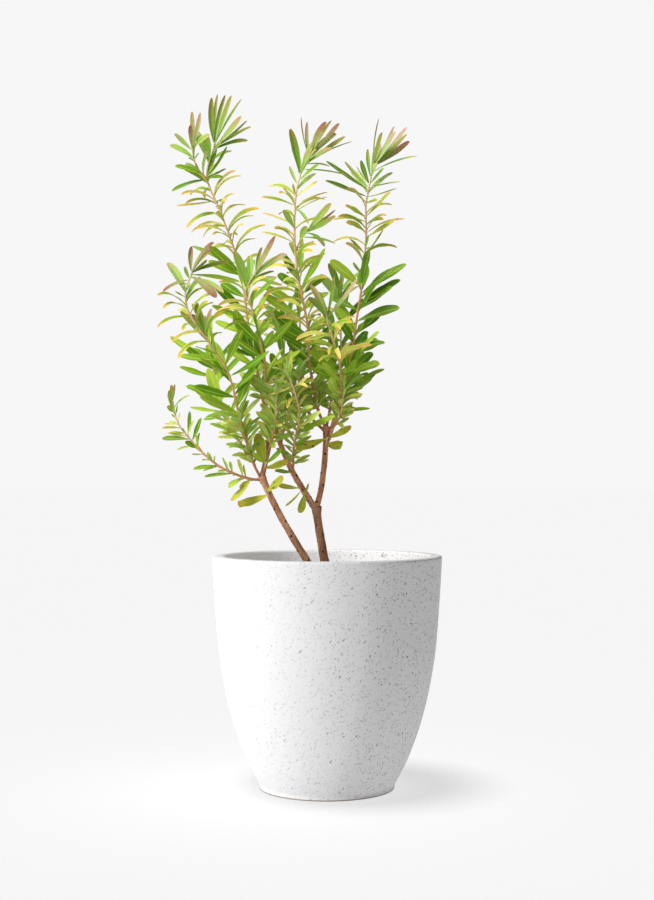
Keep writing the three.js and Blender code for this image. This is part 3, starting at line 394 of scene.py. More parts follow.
MASSES = {
    "foliage_low_left": Stem(
        route=[
            (-84, -31, 403), (-102, -36, 405), (-130, -44, 416), (-152, -48, 431), (-175, -52, 455),
            (-191, -56, 478), (-197, -60, 504),
        ],
        radii=(1.9, 0.8), leaf_from=0.12, seed=11, size=0.7,
        zones=[(0.5, "small", 4), (0.82, "small", 5), (1, "tip", 20)],
        marks=[
            (503, (-197, -64, 524), 8, "tip"), (503, (-194, -56, 525), 5, "tip"),
            (494, (-175, -61, 511), 4, "young", -0.3), (489, (-203, -64, 497), 8, "small"),
            (500, (-203, -59, 512), 3, "small"), (485, (-190, -63, 498), 4, "small"),
            (481, (-198, -58, 487), 3, "small"), (474, (-207, -57, 475), 3, "edged"),
            (469, (-210, -60, 469), 5, "edged", -0.05), (477, (-187, -64, 488), 4, "edged"),
            (458, (-176, -50, 491), 7, "dark"), (452, (-161, -59, 482), 9, "mature", 0.1),
            (443, (-166, -66, 462), 8, "mature"), (454, (-210, -60, 456), 8, "dark", -0.1),
            (444, (-180, -64, 451), 11, "mature", 0.1), (459, (-201, -55, 463), 4, "small"),
            (462, (-184, -61, 469), 5, "small"), (436, (-173, -53, 436), 3, "small"),
            (427, (-152, -55, 439), 7, "small"), (425, (-143, -53, 434), 4, "small"),
            (421, (-171, -54, 417), 7, "mature", -0.08), (415, (-134, -45, 432), 3, "small"),
            (412, (-124, -50, 427), 6, "small"), (411, (-157, -49, 407), 7, "mature", -0.1),
            (407, (-114, -46, 430), 6, "small"), (407, (-126, -51, 393), 9, "mature", -0.05),
            (404, (-122, -56, 377), 13, "old"), (404, (-113, -36, 393), 9, "old"),
        ],
    ),
    "foliage_front_left": Stem(
        route=[
            (-87, -32, 408), (-95, -38, 426), (-110, -52, 476), (-124, -68, 536), (-144, -78, 570),
            (-170, -88, 608), (-177, -92, 633), (-169, -95, 662),
        ],
        radii=(1.8, 0.8), leaf_from=0.06, seed=23, size=1,
        zones=[(0.3, "small"), (0.62, "mature"), (0.86, "edged"), (0.94, "young", 5), (1, "tip", 20)],
        marks=[
            (534, (-73, -104, 564), 12, "mature"), (661, (-169, -95, 695), 7, "tip"),
            (661, (-145, -89, 692), 8, "tip", -0.16), (661, (-149, -101, 677), 7, "tip"),
            (661, (-121, -103, 674), 10, "tip", -0.12), (659, (-109, -87, 652), 9, "mature", -0.06),
            (657, (-136, -121, 628), 11, "tip", -0.2), (656, (-128, -108, 636), 10, "young", -0.16),
            (653, (-205, -98, 638), 8, "tip", -0.22), (654, (-177, -100, 669), 5, "young"),
            (648, (-183, -98, 645), 5, "young", -0.1), (639, (-170, -103, 647), 9, "young"),
            (632, (-190, -92, 639), 3, "edged"),
        ],
        side=[
            Stem(
                route=[
                    (-97, -39, 431), (-104, -30, 437), (-126, -8, 474), (-143, 12, 510), (-151, 26, 552),
                    (-161, 35, 597),
                ],
                radii=(1.9, 0.8), leaf_from=0.14, seed=37, size=0.95,
                zones=[(0.35, "small"), (0.9, "mature"), (1, "tip")],
                marks=[
                    (539, (-194, 8, 553), 11, "mature"), (549, (-183, -8, 577), 13, "mature"),
                    (560, (-210, 38, 596), 11, "mature"), (515, (-161, -14, 523), 10, "mature"),
                    (493, (-179, -8, 498), 8, "mature"),
                ],
            ),
        ],
    ),
    "foliage_mid_left": Stem(
        route=[
            (-78, -27, 489), (-79, -38, 540), (-83, -46, 570), (-95, -55, 619), (-104, -58, 642),
            (-91, -60, 668),
        ],
        radii=(1.8, 0.8), leaf_from=0.1, seed=41, size=1,
        zones=[(0.2, "small"), (0.5, "mature"), (0.85, "edged"), (0.93, "young"), (1, "tip")],
        marks=[
            (664, (-58, -74, 690), 8, "tip"), (668, (-83, -56, 700), 5, "tip"),
            (665, (-56, -92, 647), 6, "tip"), (548, (-34, -66, 567), 11, "mature"),
        ],
    ),
    "foliage_tall_left": Stem(
        route=[
            (-79, -23, 489), (-89, -6, 531), (-103, 14, 599), (-115, 30, 679), (-135, 36, 741),
            (-156, 38, 792), (-161, 38, 815), (-150, 36, 853),
        ],
        radii=(2.1, 0.9), leaf_from=0.05, seed=53, size=1,
        zones=[(0.12, "small"), (0.52, "mature"), (0.84, "edged"), (0.95, "young", 5), (1, "tip", 20)],
        marks=[
            (618, (-151, -6, 631), 12, "mature"), (565, (-125, -20, 576), 11, "mature"),
            (777, (-200, 20, 768), 5, "edged"), (805, (-206, 20, 786), 12, "dark", -0.2),
            (826, (-159, 17, 861), 15, "young", -0.05), (811, (-148, 34, 846), 11, "dark"),
            (810, (-135, 36, 850), 7, "mature", 0.26), (808, (-136, 44, 822), 7, "dark"),
            (806, (-139, 26, 806), 8, "mature", -0.2), (850, (-154, 32, 914), 8, "tip"),
            (851, (-147, 44, 922), 5, "tip"), (851, (-136, 34, 918), 6, "tip"),
            (851, (-127, 22, 914), 11, "tip"), (851, (-115, 46, 916), 5, "tip", -0.08),
            (847, (-113, 12, 884), 14, "tip"), (847, (-107, 40, 885), 6, "tip"),
            (846, (-101, 28, 874), 10, "tip", -0.04), (844, (-105, 17, 853), 10, "tip", -0.14),
            (836, (-139, 24, 855), 6, "young"), (681, (-182, 44, 719), 7, "dark", -0.1),
        ],
        side=[
            Stem(
                route=[(-160, 38, 804), (-174, 25, 821), (-179, 14, 842)],
                radii=(1.1, 0.7), leaf_from=0.15, seed=59, size=0.8,
                zones=[(0.75, "young", 5), (1, "tip", 20)],
                marks=[
                    (839, (-180, 3, 870), 9, "tip"), (839, (-179, 15, 891), 7, "tip"),
                    (840, (-167, 9, 888), 8, "tip"), (842, (-168, 12, 859), 6, "young"),
                    (839, (-201, 8, 860), 8, "young", 0.1), (840, (-154, 1, 857), 11, "young", -0.12),
                    (810, (-202, 21, 820), 10, "mature", -0.14), (814, (-174, 16, 821), 9, "young", -0.2),
                    (826, (-184, 18, 830), 4, "young", -0.1), (828, (-170, 15, 836), 4, "young"),
                ],
            ),
        ],
    ),
    "foliage_back_left": Stem(
        route=[(-82, -27, 410), (-73, 10, 456), (-61, 60, 525), (-58, 95, 623)],
        radii=(2.2, 0.9), leaf_from=0.2, seed=61, size=0.95,
        zones=[(0.4, "small"), (0.8, "mature"), (1, "young")],
    ),
    "foliage_low_front": Stem(
        route=[(-77, -29, 437), (-72, -43, 451), (-66, -57, 478), (-64, -66, 510)],
        radii=(1.6, 0.8), leaf_from=0.2, seed=173, size=0.9,
        zones=[(0.9, "small"), (1, "young")],
    ),
    "foliage_inner_left": Stem(
        route=[(-60, -7, 452), (-55, 0, 474), (-46, 12, 495), (-38, 40, 537)],
        radii=(1.8, 0.8), leaf_from=0.2, seed=71, size=0.85,
        zones=[(0.4, "small"), (0.9, "mature"), (1, "young")],
        side=[
            Stem(
                route=[(-51, 4, 484), (-62, 22, 505), (-68, 34, 540)],
                radii=(1.3, 0.8), leaf_from=0.2, seed=73, size=0.85,
                zones=[(0.9, "small"), (1, "young")],
            ),
            Stem(
                route=[(-47, 10, 493), (-38, 2, 512), (-36, -8, 545)],
                radii=(1.2, 0.8), leaf_from=0.2, seed=79, size=0.8,
                zones=[(0.9, "small"), (1, "young")],
            ),
        ],
    ),
    "foliage_front_shoot": Stem(
        route=[
            (-42, -3, 408), (-44, -20, 421), (-42, -38, 449), (-35, -54, 485), (-41, -66, 514),
            (-49, -75, 537),
        ],
        radii=(1.7, 0.8), leaf_from=0.16, seed=83, size=0.72,
        zones=[(0.66, "small"), (0.92, "edged"), (1, "young")],
        marks=[
            (471, (-8, -80, 489), 12, "small"), (468, (10, -64, 485), 12, "mature"),
            (458, (-21, -66, 464), 9, "small"), (520, (-24, -82, 534), 5, "edged"),
            (521, (-72, -80, 511), 5, "edged"), (532, (-45, -78, 559), 5, "edged"),
            (529, (-62, -86, 549), 5, "edged"), (448, (-20, -60, 459), 8, "small"),
            (459, (-57, -60, 472), 6, "small"), (434, (-65, -52, 443), 8, "small"),
            (426, (-23, -40, 429), 6, "small"), (413, (-67, -34, 415), 8, "mature"),
        ],
    ),
    "foliage_tall_centre": Stem(
        route=[
            (-2, 18, 472), (-13, 13, 500), (-23, 2, 557), (-25, -3, 603), (-40, -8, 685), (-42, -10, 757),
            (-35, -10, 801), (-20, -8, 828),
        ],
        radii=(2.1, 0.9), leaf_from=0.07, seed=97, size=1,
        zones=[
            (0.16, "small"), (0.33, "mature"), (0.6, "edged"), (0.85, "edged", 2.5), (0.95, "young", 5),
            (1, "tip", 20),
        ],
        marks=[
            (576, (-64, -22, 595), 12, "mature"), (592, (-67, 10, 620), 13, "mature"),
            (799, (-48, -20, 860), 10, "tip", -0.1), (804, (-17, -14, 845), 11, "young", -0.28),
            (823, (-26, 0, 874), 5, "tip"), (823, (-34, -4, 879), 2, "tip"),
            (823, (-1, -24, 868), 14, "tip"), (823, (6, -2, 875), 5, "tip"),
            (823, (16, -12, 869), 11, "tip"), (820, (24, -17, 850), 11, "tip"),
            (820, (33, -5, 847), 3, "tip", -0.1), (816, (6, -35, 830), 14, "tip", -0.08),
            (807, (-22, -20, 833), 9, "tip"), (795, (-12, -32, 811), 11, "mature"),
            (788, (-49, -10, 813), 5, "young", 0.08), (816, (4, -7, 814), 4, "young", -0.2),
            (809, (27, -6, 803), 4, "young", -0.1), (773, (-13, -24, 791), 8, "edged", 0.06),
            (774, (-44, -18, 789), 4, "edged"), (768, (-57, -14, 784), 4, "edged", 0.1),
            (758, (1, -8, 780), 4, "edged", -0.2), (753, (0, -16, 773), 3, "edged", -0.15),
            (761, (-85, -16, 772), 6, "edged", -0.14), (736, (-85, -8, 753), 4, "edged", -0.08),
            (758, (-24, -26, 735), 5, "young", -0.28), (731, (-57, -29, 752), 9, "young", -0.1),
            (722, (-69, -19, 731), 8, "edged", -0.3), (712, (-85, -9, 728), 4, "edged", -0.16),
        ],
        side=[
            Stem(
                route=[(-40, -9, 703), (-36, -14, 713), (-27, -20, 725)],
                radii=(1, 0.7), leaf_from=0.3, seed=101, size=0.9,
                zones=[(1, "tip", 8)],
                marks=[
                    (714, (-26, -23, 732), 10, "young"), (725, (5, -26, 762), 11, "tip"),
                    (725, (11, -34, 744), 12, "tip"), (725, (11, -16, 755), 5, "tip"),
                    (719, (11, -25, 710), 5, "young", -0.16), (706, (-17, -14, 714), 5, "edged"),
                    (724, (-3, -34, 704), 6, "tip", -0.5),
                ],
            ),
        ],
    ),
    "foliage_inner_centre": Stem(
        route=[(-3, 20, 467), (-25, 36, 495), (-34, 56, 561), (-38, 66, 654), (-35, 70, 689)],
        radii=(2.2, 0.9), leaf_from=0.15, seed=107, size=1,
        zones=[(0.25, "small"), (0.96, "mature"), (1, "young")],
        marks=[(591, (-71, 48, 632), 13, "mature"), (661, (-3, 52, 716), 11, "mature")],
        side=[
            Stem(
                route=[(-28, 39, 493), (-12, 34, 516), (-2, 24, 552)],
                radii=(1.4, 0.8), leaf_from=0.2, seed=109, size=0.8,
                zones=[(0.4, "small"), (0.9, "mature"), (1, "young")],
            ),
        ],
    ),
    "foliage_back": Stem(
        route=[(-1, 22, 471), (7, 60, 516), (12, 92, 568), (11, 110, 611)],
        radii=(2.1, 0.9), leaf_from=0.2, seed=113, size=0.95,
        zones=[(0.35, "small"), (0.85, "mature"), (1, "young")],
    ),
    "foliage_front_right": Stem(
        route=[(11, 13, 484), (18, -12, 524), (16, -30, 554), (4, -50, 594), (-1, -58, 611)],
        radii=(2, 0.9), leaf_from=0.12, seed=127, size=0.95,
        zones=[(0.15, "small"), (0.5, "mature"), (0.88, "edged"), (1, "tip")],
        marks=[
            (609, (9, -64, 662), 6, "tip"), (609, (39, -46, 661), 8, "tip"),
            (601, (-30, -76, 611), 6, "edged"), (592, (-28, -84, 580), 8, "edged"),
            (576, (-33, -58, 580), 6, "edged"), (540, (-23, -46, 568), 13, "mature"),
            (539, (36, -38, 548), 10, "mature"), (523, (42, -20, 534), 10, "mature"),
            (524, (1, -30, 532), 9, "mature"), (505, (0, -14, 522), 8, "small"),
        ],
    ),
    "foliage_tall_right": Stem(
        route=[
            (11, 15, 484), (26, 32, 519), (34, 46, 575), (40, 52, 619), (48, 56, 673), (53, 58, 734),
            (53, 57, 776), (63, 54, 827),
        ],
        radii=(2.1, 0.9), leaf_from=0.05, seed=131, size=1,
        zones=[
            (0.12, "small"), (0.36, "mature"), (0.6, "mature", 2.6), (0.86, "edged", 2.5),
            (0.95, "young", 5), (1, "tip", 20),
        ],
        marks=[
            (494, (57, 30, 499), 4, "mature"), (826, (70, 52, 891), 2, "tip"),
            (827, (74, 46, 871), 10, "tip"), (827, (91, 30, 868), 16, "tip"),
            (827, (91, 60, 883), 6, "tip"), (827, (108, 52, 880), 11, "tip"),
            (827, (107, 42, 868), 11, "tip"), (826, (112, 66, 864), 12, "tip"),
            (819, (121, 34, 837), 5, "young", -0.18), (810, (55, 45, 848), 6, "young"),
            (814, (68, 43, 829), 10, "young"), (803, (75, 38, 821), 9, "dark"),
            (802, (46, 50, 834), 7, "dark"), (797, (24, 44, 831), 6, "young", 0.1),
            (794, (0, 32, 830), 8, "dark", 0.06), (785, (-1, 21, 802), 10, "dark", 0.06),
            (797, (99, 44, 804), 4, "young", -0.08), (785, (94, 53, 798), 3, "edged"),
            (777, (67, 41, 779), 8, "edged"), (777, (37, 51, 794), 4, "edged", 0.1),
            (802, (40, 60, 828), 2, "young"), (758, (25, 48, 773), 10, "edged", -0.05),
            (752, (9, 52, 755), 7, "edged", -0.24), (736, (26, 42, 749), 10, "edged", -0.36),
            (759, (85, 48, 791), 10, "edged", 0.1), (748, (76, 44, 753), 8, "edged", -0.4),
            (737, (105, 54, 757), 4, "edged", -0.3), (731, (91, 42, 754), 8, "edged", 0.1),
            (716, (56, 42, 731), 8, "mature"), (708, (75, 53, 742), 5, "edged", 0.25),
            (708, (31, 51, 728), 5, "edged", -0.05), (646, (88, 32, 686), 18, "dark", -0.04),
            (653, (107, 53, 695), 16, "dark", -0.04), (638, (99, 40, 671), 16, "dark", -0.06),
            (616, (97, 32, 633), 19, "dark", -0.1), (665, (56, 32, 710), 17, "dark", -0.04),
            (664, (5, 45, 699), 16, "mature", 0.05), (596, (49, 34, 612), 14, "dark"),
            (583, (68, 40, 591), 11, "dark", -0.1), (576, (77, 30, 587), 11, "dark", -0.1),
            (630, (4, 65, 651), 12, "dark", -0.08), (591, (26, 43, 610), 7, "dark"),
            (680, (35, 50, 696), 5, "young"), (545, (70, 23, 558), 17, "mature", -0.06),
            (527, (77, 29, 551), 11, "mature", -0.05), (510, (60, 15, 538), 12, "dark", -0.05),
            (493, (57, 10, 497), 7, "mature", -0.05),
        ],
    ),
    "foliage_back_right": Stem(
        route=[(12, 16, 484), (18, 50, 531), (19, 78, 594), (18, 92, 664)],
        radii=(2.1, 0.9), leaf_from=0.15, seed=139, size=1,
        zones=[(0.25, "small"), (0.8, "mature"), (1, "young")],
    ),
    "foliage_old_head": Stem(
        route=[(-82, -30, 415), (-80, -38, 420), (-78, -46, 425)],
        radii=(1.3, 1), leaf_from=1, seed=163, size=1,
        zones=[(1, "old")],
        marks=[
            (418, (-50, -56, 427), 11, "old"), (423, (-90, -40, 463), 15, "old"),
            (424, (-95, -62, 437), 8, "mature"), (424, (-58, -66, 441), 9, "mature"),
        ],
    ),
    "foliage_old_left": Stem(
        route=[(-72, -26, 379), (-75, -34, 384), (-78, -41, 389)],
        radii=(1.4, 1.1), leaf_from=1, seed=149, size=1,
        zones=[(1, "old")],
        marks=[(384, (-115, -36, 371), 13, "cut"), (388, (-56, -52, 407), 14, "old")],
    ),
    "foliage_old_fork": Stem(
        route=[(-25, 0, 378), (-31, -7, 386), (-37, -13, 393)],
        radii=(1.2, 0.9), leaf_from=1, seed=151, size=1,
        zones=[(1, "old")],
        marks=[
            (392, (-66, -18, 397), 8, "old"), (389, (-54, -24, 369), 4, "old"),
            (384, (-35, -20, 360), 11, "old"), (384, (-24, -20, 398), 6, "old"),
        ],
    ),
    "foliage_low_right": Stem(
        route=[(6, 15, 471), (13, 3, 478), (19, -12, 494), (22, -22, 520)],
        radii=(1.5, 0.8), leaf_from=0.2, seed=167, size=0.8,
        zones=[(0.9, "small"), (1, "young")],
        marks=[(475, (29, -4, 484), 6, "small"), (484, (34, -20, 490), 6, "small")],
    ),
    "foliage_old_right": Stem(
        route=[(-2, 17, 446), (-1, 10, 452), (0, 3, 458)],
        radii=(1.3, 1), leaf_from=1, seed=157, size=1,
        zones=[(1, "old")],
        marks=[
            (450, (20, 2, 448), 15, "cut"), (457, (32, -6, 473), 11, "old"),
            (457, (-41, -2, 444), 13, "old"),
        ],
    ),
}


def seeded_draws(seed):
    """Numbers between 0 and 1 that come out the same on every run."""
    state = seed
    while True:
        state = (state * 1664525 + 1013904223) % 4294967296
        yield state / 4294967296


def unit(vector):
    return vector / np.linalg.norm(vector)


def through(knots, spans, ends=None):
    """Places on a smooth curve through the knots, where the spans count knots from the first.

    The two ends say where the curve comes from and goes to. Without them it runs on straight.
    """
    knots = np.asarray(knots, float)
    ends = ends or (2 * knots[0] - knots[1], 2 * knots[-1] - knots[-2])
    held = np.vstack([ends[0], knots, ends[1]])
    first = np.clip(np.floor(spans).astype(int), 0, len(knots) - 2)
    t = (spans - first)[:, None]
    before, here, there, after = (held[first + i] for i in range(4))
    start, end = (there - before) / 2, (after - here) / 2
    bend = (3 * (there - here) - 2 * start - end) * t**2
    return here + start * t + bend + (2 * (here - there) + start + end) * t**3


class Line:
    """A smooth line through a route, with the length reached at each of its close points."""

    def __init__(self, route):
        spans = np.linspace(0, len(route) - 1, LINE_STEPS * (len(route) - 1) + 1)
        self.points = through(route, spans)
        steps = np.linalg.norm(np.diff(self.points, axis=0), axis=1)
        self.reached = np.concatenate([[0], np.cumsum(steps)])
        self.length = self.reached[-1]

    def span(self, distance):
        found = int(np.searchsorted(self.reached, distance))
        return min(max(found, 1), len(self.points) - 1)

    def place(self, distance):
        i = self.span(distance)
        share = (distance - self.reached[i - 1]) / (self.reached[i] - self.reached[i - 1])
        return self.points[i - 1] + (self.points[i] - self.points[i - 1]) * share

    def direction(self, distance):
        i = self.span(distance)
        return unit(self.points[i] - self.points[i - 1])


def sides_of(direction):
    """Two ways square to a stem's direction: to the front, and across."""
    front = unit(FRONT - direction * (FRONT @ direction))
    return front, np.cross(direction, front)


def outward(direction, turn):
    """The way out of a stem at an angle round it, in radians from its front."""
    front, across = sides_of(direction)
    return front * math.cos(turn) + across * math.sin(turn)


def tapered(radii, line, distance):
    return radii[0] + (radii[1] - radii[0]) * distance / line.length


def limb_radius(limb, line, distance):
    flare = limb.flare * math.exp(-distance / FLARE_HEIGHT)
    from_head = (line.length - distance) / HEAD_REACH
    return tapered(limb.radii, line, distance) + flare + limb.swelling * math.exp(-from_head * from_head)


class TakenSpace:
    """Filled round spots that mark taken space, each with the name of the node that takes it."""

    def __init__(self):
        self.places = np.empty((0, 3))
        self.radii = np.empty(0)
        self.steps = np.empty(0)
        self.owners = np.empty(0, dtype="<U40")

    def add(self, owner, places, radii, steps):
        self.places = np.vstack([self.places, places])
        self.radii = np.concatenate([self.radii, radii])
        self.steps = np.concatenate([self.steps, steps])
        self.owners = np.concatenate([self.owners, np.full(len(radii), owner, dtype="<U40")])

    def is_clear(self, owner, places, radii, steps, closeness):
        """Closeness has the share of the room that the owner's own spots need, and the share for others."""
        gaps = np.linalg.norm(self.places[:, None] - places[None], axis=2)
        room = self.radii[:, None] + radii[None]
        free = (steps[None] < OWN_FREE_STEPS) | (self.steps[:, None] < OWN_FREE_STEPS)
        own = (self.owners == owner)[:, None]
        own_share, others_share = closeness
        touching = np.where(own, ~free & (gaps < room * own_share), gaps < room * others_share + CLEARANCE)
        return not touching.any()

    def mark_stem(self, owner, line, radius_at):
        distances = np.arange(0, line.length + 1e-9, STEM_SPOT_STEP)
        places = np.array([line.place(d) for d in distances])
        radii = np.array([math.hypot(radius_at(d), STEM_SPOT_STEP / 2) for d in distances])
        self.add(owner, places, radii, np.zeros(len(distances)))


def blade_share(along):
    """The half width of a blade as a share of its widest, from its root at 0 to its tip at 1."""
    widest = WIDEST_STEP / BLADE_STEPS
    rise = np.sin(np.pi / 2 * np.minimum(along / widest, 1)) ** BLADE_RISE
    beyond = np.clip((along - widest) / (1 - widest), 0, 1)
    fall = np.sqrt(1 - beyond**BLADE_FALL)
    return np.where(along < widest, BLADE_ROOT_SHARE + (1 - BLADE_ROOT_SHARE) * rise, fall)


@dataclass
class Leaf:
    """The middle line of a leaf, the side its blade spreads to, its size, kind and place on its stem."""

    middle: np.ndarray
    side: np.ndarray
    length: float
    width: float
    kind: str
    distance: float


def finished_leaf(middle, natural, length, width, kind, distance):
    """Turns the blade's upper face part of the way to the light."""
    along = unit(middle[-1] - middle[0])
    to_light = unit(LIGHT - along * (LIGHT @ along))
    face = natural * (1 - TURN_TO_LIGHT) + to_light * TURN_TO_LIGHT
    face = unit(face - along * (face @ along))
    return Leaf(middle, unit(np.cross(along, face)), length, width, kind, distance)


def grown_leaf(line, distance, turn, length, width, kind, lean):
    """A leaf that grows from a stem by its kind's angles, along an arc in the plane of the stem."""
    root, stem = line.place(distance), line.direction(distance)
    out = outward(stem, math.radians(turn))
    root_angle, tip_angle = (math.radians(angle + lean) for angle in KINDS[kind].angles)
    angles = root_angle + (tip_angle - root_angle) * (np.arange(BLADE_STEPS) + 0.5) / BLADE_STEPS
    steps = (np.cos(angles)[:, None] * stem + np.sin(angles)[:, None] * out) * length / BLADE_STEPS
    start = root - out * ROOT_SINK
    middle = np.vstack([start, start + np.cumsum(steps, axis=0)])
    middle_angle = (root_angle + tip_angle) / 2
    natural = stem * math.sin(middle_angle) - out * math.cos(middle_angle)
    return finished_leaf(middle, natural, length, width, kind, distance)


def marked_leaf(line, distance, tip, width, kind, bow=MARKED_BOW):
    """A leaf whose tip is given. It sags on its way there, or arches where its bow is below 0."""
    root, stem = line.place(distance), line.direction(distance)
    whole = np.array(tip, float) - root
    length = np.linalg.norm(whole)
    along = whole / length
    natural = unit(stem - along * (stem @ along))
    shares = (np.arange(BLADE_STEPS + 1) / BLADE_STEPS)[:, None]
    middle = root + whole * shares - natural * bow * length * shares * (1 - shares)
    return finished_leaf(middle, natural, length, width, kind, distance)


def kept_if_clear(space, owner, leaf, closeness):
    """Whether a leaf's space is free. If so, that space is then taken."""
    steps = np.arange(1, BLADE_STEPS + 1)
    shares = blade_share(steps / BLADE_STEPS * SPOT_SHARE)
    radii = np.hypot(leaf.width / 2 * shares, leaf.length / BLADE_STEPS / 2)
    if not space.is_clear(owner, leaf.middle[1:], radii, steps, closeness):
        return False
    space.add(owner, leaf.middle[1:], radii, steps)
    return True


def zone_at(zones, share):
    """The kind of leaf there, and how many times farther apart its leaves stand."""
    _, kind, *spread = next(zone for zone in zones if share <= zone[0])
    return kind, spread[0] if spread else 1


def leaves_along(space, owner, twig, line, filling):
    """The leaves along one stem, or those that fill in between them, which may lie closer.

    Each leaf makes the same number of draws, whether it is kept or not.
    """
    draws = seeded_draws(twig.seed + (FILL_SEED if filling else 0))
    closeness = (FILL_CLOSENESS, FILL_CLOSENESS) if filling else (OWN_CLOSENESS, 1)
    kept = []
    turn = 360 * next(draws)
    distance = twig.leaf_from * line.length
    while distance < line.length:
        name, spread = zone_at(twig.zones, distance / line.length)
        kind = KINDS[name]
        length_draw, width_draw, turn_draw, lean_draw, step_draw = (next(draws) for _ in range(5))
        shortest, longest = kind.lengths
        length = (shortest + (longest - shortest) * length_draw) * twig.size
        width = length * kind.width * (1 + WIDTH_JITTER * (width_draw - 0.5))
        lean = LEAN_JITTER * (lean_draw - 0.5)
        for turn_by, shorten in TRIES:
            leaf = grown_leaf(line, distance, turn + turn_by, length * shorten, width * shorten, name, lean)
            if kept_if_clear(space, owner, leaf, closeness):
                kept.append(leaf)
                break
        turn += DIVERGENCE + TURN_JITTER * (turn_draw - 0.5)
        spread *= kind.fill if filling else 1
        distance += spread * kind.spacing * (1 + SPACING_JITTER * (step_draw - 0.5))
    return kept


def height_at(line, height):
    """How far along the line, in whole millimetres, it has reached the height."""
    distance = 0
    while distance < line.length and line.place(distance)[2] < height:
        distance += 1
    return min(distance, line.length)


def marked_leaves(space, owner, twig, line):
    """The leaves whose places are given, each kept where its space is free."""
    leaves = (marked_leaf(line, height_at(line, height), *rest) for height, *rest in twig.marks)
    return [leaf for leaf in leaves if kept_if_clear(space, owner, leaf, (MARKED_CLOSENESS, 1))]


def grow():
    """Every mass as its name, its twigs with their lines, and the leaves of each twig.

    The stems take their space first, then the marked leaves, then the others, then those that fill in.
    """
    space = TakenSpace()
    for name, limb in LIMBS.items():
        line = Line(limb.route)
        space.mark_stem(name, line, lambda d: limb_radius(limb, line, d))
    stems = []
    for name, mass in MASSES.items():
        twigs = [(twig, Line(twig.route)) for twig in [mass, *mass.side]]
        for twig, line in twigs:
            space.mark_stem(name, line, lambda d: tapered(twig.radii, line, d))
        stems.append((name, twigs))
    leaves = {}
    for name, twigs in stems:
        leaves[name] = [marked_leaves(space, name, twig, line) for twig, line in twigs]
    for filling in (False, True):
        for name, twigs in stems:
            for held, (twig, line) in zip(leaves[name], twigs):
                held += leaves_along(space, name, twig, line, filling)
    return [(name, twigs, leaves[name]) for name, twigs in stems]


def linear(hex_colour):
    """A hex colour as the linear red, green and blue that a shader takes."""
    shown = [int(hex_colour[i : i + 2], 16) / 255 for i in (1, 3, 5)]
    return tuple(c / 12.92 if c <= 0.04045 else ((c + 0.055) / 1.055) ** 2.4 for c in shown)


def mixed(first, second, share):
    """The hex colour that share of the way from the first to the second."""
    pairs = [(int(first[i : i + 2], 16), int(second[i : i + 2], 16)) for i in (1, 3, 5)]
    return "#" + "".join(f"{round(a + (b - a) * share):02x}" for a, b in pairs)


class Look:
    """A material with a Principled shader, and short ways to add patterns that follow the object."""

    def __init__(self, name, roughness, specular, colour=None):
        self.material = bpy.data.materials.new(name)
        self.material.use_nodes = True
        self.nodes, self.links = self.material.node_tree.nodes, self.material.node_tree.links
        self.shader = self.nodes["Principled BSDF"]
        self.shader.inputs["Roughness"].default_value = roughness
        self.shader.inputs["Specular IOR Level"].default_value = specular
        if colour is not None:
            self.shader.inputs["Base Color"].default_value = (*linear(colour), 1)

    def add(self, kind, values, sources, operation=None):
        """A node of the kind, with values on some of its inputs and sockets linked to others."""
        node = self.nodes.new("ShaderNode" + kind)
        if operation is not None:
            node.operation = operation
        for name, value in values.items():
            node.inputs[name].default_value = value
        for name, socket in sources.items():
            self.links.new(socket, node.inputs[name])
        return node

    def place(self, scale=(1, 1, 1)):
        """The place on the object, in units of the scale, for a pattern to read."""
        whole = self.add("TexCoord", {}, {})
        return self.add("Mapping", {"Scale": scale}, {"Vector": whole.outputs["Object"]}).outputs["Vector"]

    def noise(self, scale, detail, roughness=0.5, stretch=(1, 1, 1)):
        values = {"Scale": scale, "Detail": detail, "Roughness": roughness}
        return self.add("TexNoise", values, {"Vector": self.place(stretch)}).outputs["Fac"]

    def bump(self, height, strength, distance):
        bump = self.add("Bump", {"Strength": strength, "Distance": distance}, {"Height": height})
        self.links.new(bump.outputs["Normal"], self.shader.inputs["Normal"])

    def ramp(self, factor, stops):
        """A colour ramp over the factor. Each stop is a place and a linear colour."""
        ramp = self.add("ValToRGB", {}, {"Fac": factor})
        elements = ramp.color_ramp.elements
        while len(elements) < len(stops):
            elements.new(0.5)
        for element, (place, colour) in zip(elements, stops):
            element.position = place
            element.color = (*colour, 1)
        return ramp.outputs["Color"]

    def mix(self, factor, first, second):
        """A mix of two colours, each a socket or a linear colour."""
        mix = self.add("Mix", {}, {})
        mix.data_type = "RGBA"
        self.links.new(factor, mix.inputs["Factor"])
        for socket, colour in ((mix.inputs[6], first), (mix.inputs[7], second)):
            if isinstance(colour, tuple):
                socket.default_value = (*colour, 1)
            else:
                self.links.new(colour, socket)
        return mix.outputs[2]

    def paint(self, colour):
        self.links.new(colour, self.shader.inputs["Base Color"])


@cache
def leaf_material(colour):
    """Leathery leaf of one plain colour, with a fine grain."""
    look = Look("leaf_" + colour[1:], 0.55, 0.1, colour)
    look.bump(look.noise(260, 2), 0.2, 0.0004)
    return look.material


@cache
def twig_material(colour):
    """Smooth young bark of one plain colour."""
    look = Look("twig_" + colour[1:], 0.6, 0.3, colour)
    look.bump(look.noise(500, 3, stretch=(1, 1, 0.3)), 0.3, 0.0003)
    return look.material


